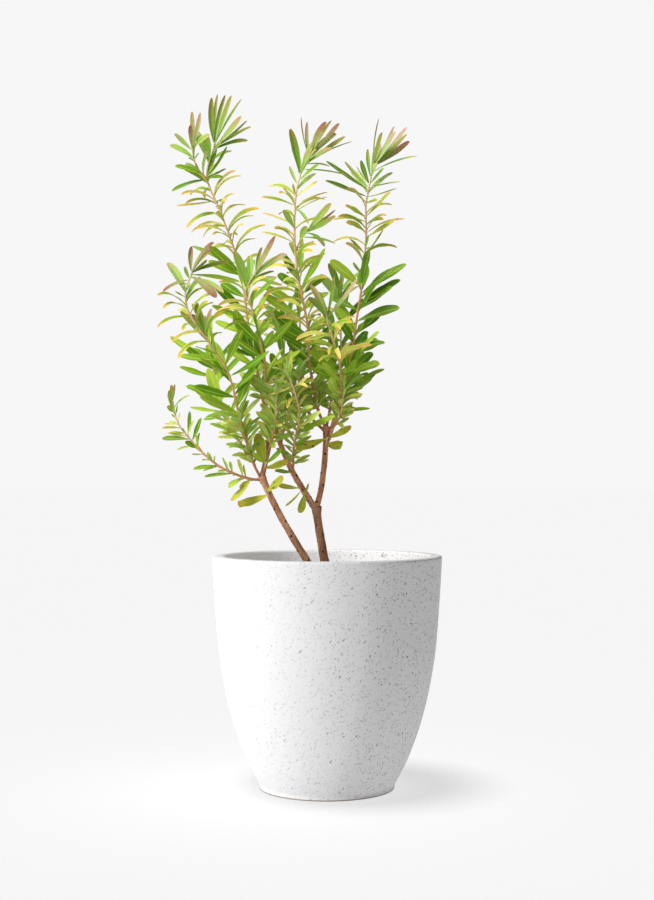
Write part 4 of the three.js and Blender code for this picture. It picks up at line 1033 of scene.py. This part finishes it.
def bark_material(name, shades):
    """Brown bark with paler patches and fine dark specks."""
    look = Look(name, 0.82, 0.25)
    stops = [(step, linear(shade)) for step, shade in zip(BARK_STEPS, shades)]
    patches = look.ramp(look.noise(70, 5, 0.62, (1, 1, 0.45)), stops)
    specks = look.ramp(look.noise(420, 3, 0.6), [(0.33, (1, 1, 1)), (0.4, (0, 0, 0))])
    look.paint(look.mix(specks, patches, linear("#4a2e20")))
    look.bump(look.noise(900, 5, 0.65, (1, 1, 0.25)), 0.6, 0.0005)
    return look.material


def scar_material():
    """Dark cork where a leaf has dropped."""
    return Look("leaf_scar", 0.9, 0.2, "#3f2b20").material


def dead_wood_material():
    """Dry, dark, streaked wood."""
    look = Look("dead_wood", 0.9, 0.5)
    streaks = look.noise(500, 4, 0.6, (1, 1, 0.4))
    look.paint(look.ramp(streaks, [(0.35, linear("#2f2018")), (0.65, linear("#5c4230"))]))
    look.bump(streaks, 0.7, 0.0004)
    return look.material


def chips(look, place, scale, smallest, largest, shift):
    """1 inside scattered chips and 0 outside, with a tint for each: the middles of cells of many sizes."""
    moved = look.add("Mapping", {"Location": (shift, shift * 1.7, shift * 0.6)}, {"Vector": place})
    cells = look.add("TexVoronoi", {"Scale": scale}, {"Vector": moved.outputs["Vector"]})
    size = look.add("SeparateColor", {}, {"Color": cells.outputs["Color"]})
    limits = {"To Min": smallest, "To Max": largest}
    reach = look.add("MapRange", limits, {"Value": size.outputs["Red"]})
    inside = look.add("Math", {}, {0: cells.outputs["Distance"], 1: reach.outputs["Result"]}, "LESS_THAN")
    return inside.outputs[0], size.outputs["Green"]


def pot_material():
    """Pale clay body with grey, brown and faint sandy chips, and a matt, slightly pitted face. The chips
    fade toward the lit left, a painted highlight.
    """
    look = Look("speckled_clay", 0.62, 0.35)
    warp = look.noise(90, 3)
    spread = look.add("CombineXYZ", {}, {"X": warp, "Y": warp, "Z": warp})
    terms = {0: spread.outputs["Vector"], 2: look.place()}
    place = look.add("VectorMath", {1: CHIP_WARP}, terms, "MULTIPLY_ADD").outputs["Vector"]
    colour = CLAY
    for scale, smallest, largest, shift, shades in CHIP_LAYERS:
        inside, tint = chips(look, place, scale, smallest, largest, shift)
        stops = [(i / (len(shades) - 1), linear(shade)) for i, shade in enumerate(shades)]
        colour = look.mix(inside, colour, look.ramp(tint, stops))
    # Painted highlight: toward the lit left the chips fade into the plain clay.
    across = look.add("SeparateXYZ", {}, {"Vector": look.place()})
    limits = dict(zip(("From Min", "From Max", "To Min", "To Max"), PAINTED_HIGHLIGHT_SIDE))
    paler = look.add("MapRange", limits, {"Value": across.outputs["X"]})
    look.paint(look.mix(paler.outputs["Result"], colour, CLAY))
    look.bump(look.noise(700, 4), 0.12, 0.0003)
    return look.material


def foot_material():
    """Darker clay on the edge that the planter stands on and beneath it, a painted contact shade."""
    return Look("foot_painted_shade", 0.9, 0.2, "#8a8074").material


def soil_material():
    """Dark potting soil with paler crumbs."""
    look = Look("potting_soil", 0.95, 0.2)
    crumbs = look.noise(260, 6, 0.7)
    shades = [(0.32, "#1f1611"), (0.5, "#3b2a20"), (0.66, "#5a4434")]
    look.paint(look.ramp(crumbs, [(place, linear(shade)) for place, shade in shades]))
    look.bump(crumbs, 0.9, 0.002)
    return look.material


def mesh_piece(name, points, faces, materials, slots=None, sharp=None):
    """A smooth-shaded object from points in millimetres, with an array of corners for each size of face."""
    sizes = np.concatenate([np.full(len(group), group.shape[1]) for group in faces])
    corners = np.concatenate([group.ravel() for group in faces])
    mesh = bpy.data.meshes.new(name)
    mesh.vertices.add(len(points))
    mesh.vertices.foreach_set("co", (np.asarray(points) * MM).ravel())
    mesh.loops.add(len(corners))
    mesh.loops.foreach_set("vertex_index", corners)
    mesh.polygons.add(len(sizes))
    mesh.polygons.foreach_set("loop_start", np.concatenate([[0], np.cumsum(sizes)[:-1]]))
    mesh.polygons.foreach_set("loop_total", sizes)
    for material in materials:
        mesh.materials.append(material)
    if slots is not None:
        mesh.polygons.foreach_set("material_index", slots)
    mesh.update(calc_edges=True)
    mesh.validate()
    mesh.shade_smooth()
    if sharp is not None:
        mesh.set_sharp_from_angle(angle=math.radians(sharp))
    piece = bpy.data.objects.new(name, mesh)
    bpy.context.scene.collection.objects.link(piece)
    return piece


def joined(shapes):
    """Points and faces of many shapes as one, from the points, quads and fans of each."""
    starts = np.cumsum([0, *(len(points) for points, _, _ in shapes)])
    quads = np.vstack([quads + start for (_, quads, _), start in zip(shapes, starts)])
    fans = np.vstack([fans + start for (_, _, fans), start in zip(shapes, starts)])
    return np.vstack([points for points, _, _ in shapes]), (quads, fans)


def dealt(colours, material_of):
    """The materials of the faces' colours, and the slot of each face."""
    palette, slots = np.unique(colours, return_inverse=True)
    return [material_of(str(colour)) for colour in palette], slots


def angles_round(sides):
    return 2 * np.pi * np.arange(sides) / sides


def tube_faces(rings, sides):
    """Quads between rings of points and a fan at each end. The last two points are the ends' middles."""
    ring, side = np.meshgrid(np.arange(rings - 1), np.arange(sides), indexing="ij")
    here, there = (ring * sides + side).ravel(), (ring * sides + (side + 1) % sides).ravel()
    quads = np.column_stack([here, there, there + sides, here + sides])
    around = np.arange(sides)
    turned = (around + 1) % sides
    last = (rings - 1) * sides
    foot = np.column_stack([np.full(sides, rings * sides), turned, around])
    head = np.column_stack([np.full(sides, rings * sides + 1), last + around, last + turned])
    return quads, np.vstack([foot, head])


def tube_points(line, distances, radii, level_start=False):
    """Rings round a line at the distances, some of them past its ends. Radii has a row for each ring."""
    angles = angles_round(radii.shape[1])
    to_front, to_side = np.cos(angles), np.sin(angles)
    rings, middles = [], []
    for distance, row in zip(distances, radii):
        level = level_start and distance <= 0
        inside = min(max(distance, 0), line.length)
        along = np.array([0.0, 0.0, 1.0]) if level else line.direction(inside)
        middle = line.place(inside) + along * (distance - inside)
        front, across = sides_of(along)
        rings.append(middle + np.outer(row * to_front, front) + np.outer(row * to_side, across))
        middles.append(middle)
    return np.vstack([*rings, middles[0], middles[-1]])


def ride_for(piece, slot, *nodes):
    """The piece rides with the whole plant and stands for those nodes. The slot is not used."""
    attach(piece, "root")
    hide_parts(*nodes)


def leaf_points(leaf, form, draw):
    """Points of a folded, slightly twisted blade with its midrib proud below."""
    shares = np.concatenate([[0], RING_SHARES, [1]])
    middle = through(leaf.middle, shares * BLADE_STEPS)
    along = np.gradient(middle, axis=0)
    along /= np.linalg.norm(along, axis=1)[:, None]
    side = leaf.side - along * (along @ leaf.side)[:, None]
    side /= np.linalg.norm(side, axis=1)[:, None]
    up = np.cross(side, along)
    middle = middle - up * (form.droop * leaf.length * draw.uniform(0, 1) * shares**3)[:, None]
    twist = np.radians(form.twist * draw.uniform(-1, 1)) * shares[:, None]
    side, up = side * np.cos(twist) + up * np.sin(twist), up * np.cos(twist) - side * np.sin(twist)
    wide = blade_share(shares)
    wide = np.where(shares > BLUNT_FROM, np.maximum(wide, form.blunt), wide)
    half = (leaf.width / 2 * wide)[1:-1, None]
    fold = math.radians(form.fold * draw.uniform(*FOLD_SHARES))
    waves, phase = draw.uniform(*WAVE_COUNTS), draw.uniform(0, 2 * math.pi)
    ripple = np.sin(2 * np.pi * waves * RING_SHARES[:, None] + phase + WAVE_SHIFT * np.sign(ACROSS))
    lift = half * (np.abs(ACROSS) * math.sin(fold) + form.wave * ACROSS**2 * ripple)
    rib = RIB_DEPTH * np.exp(-((ACROSS / RIB_WIDTH) ** 2)) * (RIB_TAPER - RING_SHARES[:, None])
    depth = LEAF_THICKNESS * np.sqrt(1 - ACROSS**2) + rib
    lift = lift - np.where(IS_UPPER, RIB_ABOVE * rib, depth)
    ring = middle[1:-1, None] + side[1:-1, None] * (half * ACROSS * math.cos(fold))[..., None]
    ring = ring + up[1:-1, None] * lift[..., None]
    return np.vstack([ring.reshape(-1, 3), middle[0], middle[-1]])


@cache
def face_places():
    """How far along and across the middle of each face of a leaf lies, and whether it is on the back."""
    per_ring = len(ACROSS)
    quads, fans = tube_faces(LEAF_RINGS, per_ring)
    ring = quads[:, 0] // per_ring
    first, second = np.concatenate([quads[:, :2], fans[:, 1:]]).T % per_ring
    at_tip = fans[:, 0] == LEAF_RINGS * per_ring + 1
    along = np.concatenate([(RING_SHARES[ring] + RING_SHARES[ring + 1]) / 2, np.where(at_tip, 1, 0)])
    across = np.abs(ACROSS[first] + ACROSS[second]) / 2
    return along, across, np.maximum(first, second) >= len(UPPER_ACROSS)


def leaf_colours(kind, draw):
    """The hex colour of each face of one leaf."""
    form = KINDS[kind]
    looks = LEAF_LOOKS[kind]
    face_along, face_across, on_back = face_places()
    stalk, blade, rib, margin, tip, back = looks[draw.integers(len(looks))]
    tip_from = form.tip_from + draw.uniform(*TIP_JITTER)
    zones = np.where(on_back, back, np.where(face_across > 1 - form.margin, margin, blade))
    zones = np.where(face_across < form.rib, rib, zones)
    reach = np.clip((face_along - tip_from) / max(1 - tip_from, SHORTEST_TIP), 0, 1)
    step = np.ceil(reach * TIP_COLOUR_STEPS) / TIP_COLOUR_STEPS
    colours = [mixed(str(zone), tip, float(share)) for zone, share in zip(zones, step)]
    spotted = draw.uniform(0, 1, len(colours)) < form.spots
    colours = np.where(spotted, SPOT_COLOUR, colours)
    return np.where(face_along < STALK_SHARE, stalk, colours)


def make_leaves(name, node, leaves, seed):
    """All the leaves of one mass as one piece, with a slot for each plain colour."""
    draw = np.random.default_rng(seed)
    faces = tube_faces(LEAF_RINGS, len(ACROSS))
    shapes, colours = [], []
    for leaf in leaves:
        shapes.append((leaf_points(leaf, KINDS[leaf.kind], draw), *faces))
        colours.append(leaf_colours(leaf.kind, draw))
    on_quads, on_fans = np.split(np.array(colours), [len(faces[0])], axis=1)
    materials, slots = dealt(np.concatenate([on_quads.ravel(), on_fans.ravel()]), leaf_material)
    ride_for(mesh_piece(name, *joined(shapes), materials, slots, sharp=50), "leaf", node)


def twig_shape(twig, line, leaves):
    """Points and faces of one twig with a swelling under each leaf and a bud at its end.

    The last two values are how far along it the quads and the fans lie, as shares of its length.
    """
    rings = max(3, math.ceil(line.length / TWIG_STEP) + 1)
    distances = np.linspace(0, line.length, rings)
    radii = tapered(twig.radii, line, distances)
    rows = np.repeat(radii[:, None], TWIG_SIDES, axis=1)
    for leaf in leaves:
        out = leaf.middle[2] - line.place(leaf.distance)
        front, across = sides_of(line.direction(leaf.distance))
        turn = math.atan2(out @ across, out @ front)
        facing = np.clip(np.cos(angles_round(TWIG_SIDES) - turn), 0, 1) ** 2
        near = np.exp(-(((distances - leaf.distance) / NODE_REACH) ** 2))
        rows += NODE_SWELLING * near[:, None] * facing[None]
    rows = np.vstack([rows, radii[-1] * np.outer(BUD_RADII, np.ones(TWIG_SIDES))])
    distances = np.concatenate([distances, line.length + BUD_LENGTH * np.array(BUD_PLACES)])
    shares = np.clip(distances / line.length, 0, 1)
    faces = tube_faces(len(distances), TWIG_SIDES)
    return (tube_points(line, distances, rows), *faces), shares[:-1], shares[[0, -1]]


def twig_colour(share):
    """The hex colour of a twig at a share of its length, in even steps."""
    stepped = round(share * TWIG_COLOUR_STEPS) / TWIG_COLOUR_STEPS
    upper = next(i for i, (place, _) in enumerate(TWIG_LOOK) if place >= stepped)
    if upper == 0:
        return TWIG_LOOK[0][1]
    (start, first), (end, second) = TWIG_LOOK[upper - 1], TWIG_LOOK[upper]
    return mixed(first, second, (stepped - start) / (end - start))


def make_twigs(name, node, twigs, leaves):
    """The stem and side twigs of one mass as one piece, coloured from old wood to young."""
    shapes, on_quads, on_fans = [], [], []
    for (twig, line), held in zip(twigs, leaves):
        shape, quad_shares, fan_shares = twig_shape(twig, line, held)
        shapes.append(shape)
        on_quads += [twig_colour(share) for share in quad_shares]
        on_fans += [twig_colour(share) for share in fan_shares]
    materials, slots = dealt(np.repeat(on_quads + on_fans, TWIG_SIDES), twig_material)
    ride_for(mesh_piece(name, *joined(shapes), materials, slots), "bark", node)


def bark_relief(distances, radius, seed):
    """How far the bark stands out: long ridges, fine cracks, and scars where leaves have dropped.

    The second value is the scars' share in it, from 0 to 1.
    """
    angles = angles_round(BARK_SIDES)
    relief = np.zeros((len(distances), BARK_SIDES))
    scars = np.zeros_like(relief)
    for i, distance in enumerate(distances):
        for j, angle in enumerate(angles):
            x, y = math.cos(angle) * radius, math.sin(angle) * radius
            for count, (around, along, share) in enumerate(BARK_WAVES, start=1):
                wave = noise.noise(Vector((x * around, y * around, distance * along + count * seed)))
                relief[i, j] += RIDGE_HEIGHT * share * wave
    draw = np.random.default_rng(seed)
    scar, turn = SCAR_SPACING, draw.uniform(0, 360)
    while scar < distances[-1] - SCAR_SPACING / 2:
        facing = np.cos(angles - math.radians(turn))
        across = np.exp(-((np.arccos(np.clip(facing, -1, 1)) * radius / SCAR_WIDTH) ** 2))
        above = np.exp(-(((distances - scar) / SCAR_LENGTH) ** 2))
        below = np.exp(-(((distances - scar + DENT_DROP) / DENT_LENGTH) ** 2))
        relief += SCAR_HEIGHT * np.outer(above - DENT_SHARE * below, across)
        scars += np.outer(above, across)
        turn += DIVERGENCE
        scar += SCAR_SPACING * draw.uniform(*SCAR_SPACING_SHARES)
    return relief, scars


def make_limb(name, limb, materials, seed):
    """A trunk, limb or bough with its bark's relief. Its foot goes on into what carries it."""
    line = Line(limb.route)
    sunk = FLARE_DEPTH if limb.flare > 0 else LIMB_OVERLAP
    distances = np.arange(-sunk, line.length, BARK_STEP)
    radii = np.array([limb_radius(limb, line, max(d, 0)) for d in distances])
    relief, scars = bark_relief(distances, radii.mean(), seed)
    rows = radii[:, None] + relief
    rows = np.vstack([rows, np.outer(np.sin(np.radians(HEAD_ANGLES)), rows[-1])])
    distances = np.concatenate([distances, line.length + np.array(HEAD_PLACES)])
    points = tube_points(line, distances, rows, limb.flare > 0)
    quads, fans = tube_faces(len(distances), BARK_SIDES)
    dark = np.concatenate([scars.ravel(), np.zeros(len(points) - scars.size)])
    slots = np.concatenate([dark[quads].mean(axis=1) > SCAR_DARK_FROM, np.zeros(len(fans))]).astype(int)
    ride_for(mesh_piece(name + "_bark", points, [quads, fans], materials, slots), "bark", name)


def make_stub():
    """The broken end of the left limb: splinters of dead wood that stand on its head."""
    limb = LIMBS["limb_left"]
    line = Line(limb.route)
    top, along = line.place(line.length), line.direction(line.length)
    draw = np.random.default_rng(SPLINTER_SEED)
    shapes = []
    for turn in angles_round(SPLINTERS):
        out = outward(along, turn)
        foot = top + out * SPLINTER_SPREAD * limb.radii[1] * draw.uniform(*SPLINTER_SPREAD_SHARES)
        tall = draw.uniform(*SPLINTER_HEIGHTS)
        head = foot + along * tall + out * draw.uniform(*SPLINTER_LEANS)
        splinter = Line([foot - along * SPLINTER_ROOT, foot + along * tall * SPLINTER_BEND, head])
        rows = np.outer(SPLINTER_RADII, draw.uniform(*SPLINTER_ROUGHNESS, SPLINTER_SIDES))
        points = tube_points(splinter, splinter.length * np.array(SPLINTER_SHARES), rows)
        shapes.append((points, *tube_faces(len(rows), SPLINTER_SIDES)))
    piece = mesh_piece("broken_stub", *joined(shapes), [dead_wood_material()], sharp=40)
    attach(piece, "root")


def arc(centre, radius, start, end, steps):
    """Places on an arc in the plane of radius and height, with angles in degrees from the radius's way."""
    angles = np.radians(np.linspace(start, end, steps + 1))
    return [(centre[0] + radius * math.cos(a), centre[1] + radius * math.sin(a)) for a in angles]


def belly_profile():
    """The outside of the planter from its foot to just below the rim, through the belly's places."""
    knots = [(POT_FOOT_RADIUS, POT_FOOT_HEIGHT), *POT_BELLY, (POT_RIM_RADIUS, POT_HEIGHT - POT_EDGE_ROUND)]
    spans = np.arange(BELLY_STEPS * (len(knots) - 1) + 1) / BELLY_STEPS
    return [tuple(place) for place in through(knots, spans, (knots[0], knots[-1]))]


def turned_points(profile, sides):
    """A profile of radius and height turned about Z, without its first and last places on the axis."""
    angles = angles_round(sides)
    x, y = np.cos(angles), np.sin(angles)
    return np.vstack([np.column_stack([r * x, r * y, np.full(sides, z)]) for r, z in profile])


def make_pot():
    """The planter: a thick-walled cup with a small upright foot and a rounded rim."""
    outer = belly_profile()
    edge, steps, foot = POT_EDGE_ROUND, POT_EDGE_STEPS, POT_FOOT_ROUND
    lowest = POT_FLOOR + POT_INNER_CORNER[0]
    inner = [(r - POT_WALL, z) for r, z in reversed(outer) if z > lowest]
    profile = [
        (POT_FOOT_RADIUS - POT_UNDERSIDE_MARGIN, 0),
        *arc((POT_FOOT_RADIUS - foot, foot), foot, -90, 0, 4),
        (POT_FOOT_RADIUS, POT_FOOT_EDGE),
        *outer,
        *arc((POT_RIM_RADIUS - edge, POT_HEIGHT - edge), edge, 10, 90, steps),
        *arc((POT_RIM_RADIUS - POT_WALL + edge, POT_HEIGHT - edge), edge, 90, 170, steps),
        *inner,
        (inner[-1][0] - POT_INNER_CORNER[1], POT_FLOOR),
    ]
    points = np.vstack([turned_points(profile, POT_SIDES), [(0, 0, 0), (0, 0, POT_FLOOR)]])
    quads, fans = tube_faces(len(profile), POT_SIDES)
    height = points[np.vstack([quads[:, [0, 2]], fans[:, 1:]]), 2].max(axis=1)
    # The foot's edge and the underside take the darker clay, a painted contact shade.
    slots = (height <= POT_FOOT_EDGE).astype(int)
    materials = [pot_material(), foot_material()]
    piece = mesh_piece("planter_body", points, [quads, fans], materials, slots, sharp=50)
    ride_for(piece, "planter", "planter")
    return inner


def soil_height(x, y):
    """The height of the soil's crumbly top."""
    waves = (high * noise.noise(Vector((x * scale, y * scale, shift))) for scale, shift, high in SOIL_WAVES)
    return SOIL_TOP - SOIL_SINK + sum(waves)


def make_soil(inner):
    """The soil, with a crumbly top and clods lying on it."""
    below = [(r - GAP, z) for r, z in reversed(inner) if z < SOIL_TOP - SOIL_EDGE_DROP]
    above = next(r for r, z in reversed(inner) if z > SOIL_TOP)
    top_radius = (below[-1][0] + above - GAP) / 2
    profile = [(inner[-1][0] - POT_INNER_CORNER[1] - GAP, POT_FLOOR + GAP), *below]
    points = [turned_points(profile, SOIL_SIDES)]
    for i in range(SOIL_RINGS):
        ring = turned_points([(top_radius * (1 - i / SOIL_RINGS), 0)], SOIL_SIDES)
        ring[:, 2] = [soil_height(x, y) for x, y, _ in ring]
        points.append(ring)
    points.append([(0, 0, POT_FLOOR + GAP), (0, 0, soil_height(0, 0))])
    faces = tube_faces(len(profile) + SOIL_RINGS, SOIL_SIDES)
    material = soil_material()
    ride_for(mesh_piece("soil_body", np.vstack(points), faces, [material], sharp=60), "soil", "soil")
    make_clods(top_radius, material)


def make_clods(top_radius, material):
    """Small rounded clods on the soil, each a bent ball of its own size."""
    draw = np.random.default_rng(CLOD_SEED)
    rings = [(math.cos(angle), math.sin(angle)) for angle in np.radians(CLOD_RINGS)]
    ball = np.vstack([turned_points(rings, CLOD_SIDES), [(0, 0, -1), (0, 0, 1)]])
    faces = tube_faces(len(rings), CLOD_SIDES)
    shapes = []
    for _ in range(CLOD_COUNT):
        reach = (top_radius - CLOD_MARGIN) * math.sqrt(draw.uniform(0, 1))
        turn = draw.uniform(0, 2 * math.pi)
        x, y = reach * math.cos(turn), reach * math.sin(turn)
        size = CLOD_SMALLEST + CLOD_GROWTH * draw.uniform(0, 1) ** 3
        bent = ball * draw.uniform(*CLOD_BENDS, ball.shape) * size * CLOD_SHAPE
        shapes.append((bent + (x, y, soil_height(x, y) + CLOD_LIFT * size), *faces))
    piece = mesh_piece("soil_clods", *joined(shapes), [material])
    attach(piece, "root")


def make_camera():
    data = bpy.data.cameras.new("camera")
    data.lens = CAMERA_LENS
    data.shift_y = CAMERA_SHIFT
    camera = bpy.data.objects.new("camera", data)
    camera.location = CAMERA_PLACE
    camera.rotation_euler = (math.radians(90), 0, 0)
    bpy.context.scene.collection.objects.link(camera)
    bpy.context.scene.camera = camera


def linked(name, state, pieces):
    """A collection that says which pieces a lamp reaches, or which it doesn't."""
    collection = bpy.data.collections.new(name)
    for piece in pieces:
        collection.objects.link(bpy.data.objects[piece])
    for held in collection.collection_objects:
        held.light_linking.link_state = state
    return collection


def add_lamp(name, kind, power, from_there, state, pieces):
    """A lamp that shines from there. Where it reaches only some pieces, only the planter shades them."""
    data = bpy.data.lights.new(name, kind)
    data.energy = power
    lamp = bpy.data.objects.new(name, data)
    lamp.rotation_mode = "QUATERNION"
    lamp.rotation_quaternion = from_there.to_track_quat("Z", "Y")
    bpy.context.scene.collection.objects.link(lamp)
    lamp.light_linking.receiver_collection = linked(name + "_reach", state, pieces)
    if state == "INCLUDE":
        lamp.light_linking.blocker_collection = linked(name + "_shade", state, ["planter_body"])
    return lamp


def make_sun(name, azimuth, elevation, strength, angle, state, pieces):
    """A far lamp. Azimuth 0 shines from the front and grows to the right."""
    turn, rise = math.radians(azimuth), math.radians(elevation)
    from_there = Vector((math.sin(turn) * math.cos(rise), -math.cos(turn) * math.cos(rise), math.sin(rise)))
    lamp = add_lamp(name, "SUN", strength * math.pi, from_there, state, pieces)
    lamp.data.angle = math.radians(angle)


def make_rim_lamp():
    """A small lamp that lights the far inside of the rim, as the bright near wall does."""
    way = RIM_LAMP_PLACE - RIM_LAMP_AIM
    lamp = add_lamp("rim_lamp", "SPOT", RIM_LAMP_POWER, way, "INCLUDE", ["planter_body"])
    lamp.location = RIM_LAMP_PLACE
    lamp.data.spot_size = math.radians(RIM_LAMP_CONE)
    lamp.data.spot_blend = 1
    lamp.data.shadow_soft_size = RIM_LAMP_RADIUS


def make_stage():
    """A wide pale floor and a pale surround."""
    look = Look("floor", 1, 0)
    look.shader.inputs["Base Color"].default_value = (FLOOR_COLOUR, FLOOR_COLOUR, FLOOR_COLOUR, 1)
    look.shader.inputs["Emission Color"].default_value = (1, 1, 1, 1)
    look.shader.inputs["Emission Strength"].default_value = FLOOR_GLOW
    points = turned_points([(FLOOR_RADIUS / MM, 0)], FLOOR_SIDES)
    floor = mesh_piece("floor", points, [np.arange(FLOOR_SIDES)[None]], [look.material])
    world = bpy.data.worlds.new("surround")
    world.use_nodes = True
    background = world.node_tree.nodes["Background"]
    background.inputs["Color"].default_value = (SKY_SHOWN, SKY_SHOWN, SKY_SHOWN, 1)
    background.inputs["Strength"].default_value = 1
    world.cycles_visibility.diffuse = False
    bpy.context.scene.world = world


def main():
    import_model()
    make_camera()
    make_stage()
    inner = make_pot()
    make_soil(inner)
    scar = scar_material()
    old_bark, young_bark = bark_material("bark", OLD_BARK), bark_material("young_bark", YOUNG_BARK)
    for seed, (name, limb) in enumerate(LIMBS.items(), start=3):
        make_limb(name, limb, [old_bark if name == "trunk" else young_bark, scar], seed)
    make_stub()
    for name, twigs, leaves in grow():
        short = name.removeprefix("foliage_")
        make_twigs("twigs_" + short, name, twigs, leaves)
        make_leaves("leaves_" + short, name, [leaf for held in leaves for leaf in held], MASSES[name].seed)
    for lamp in LAMPS:
        make_sun(*lamp)
    make_rim_lamp()
    bpy.context.scene.view_settings.view_transform = "Standard"


main()
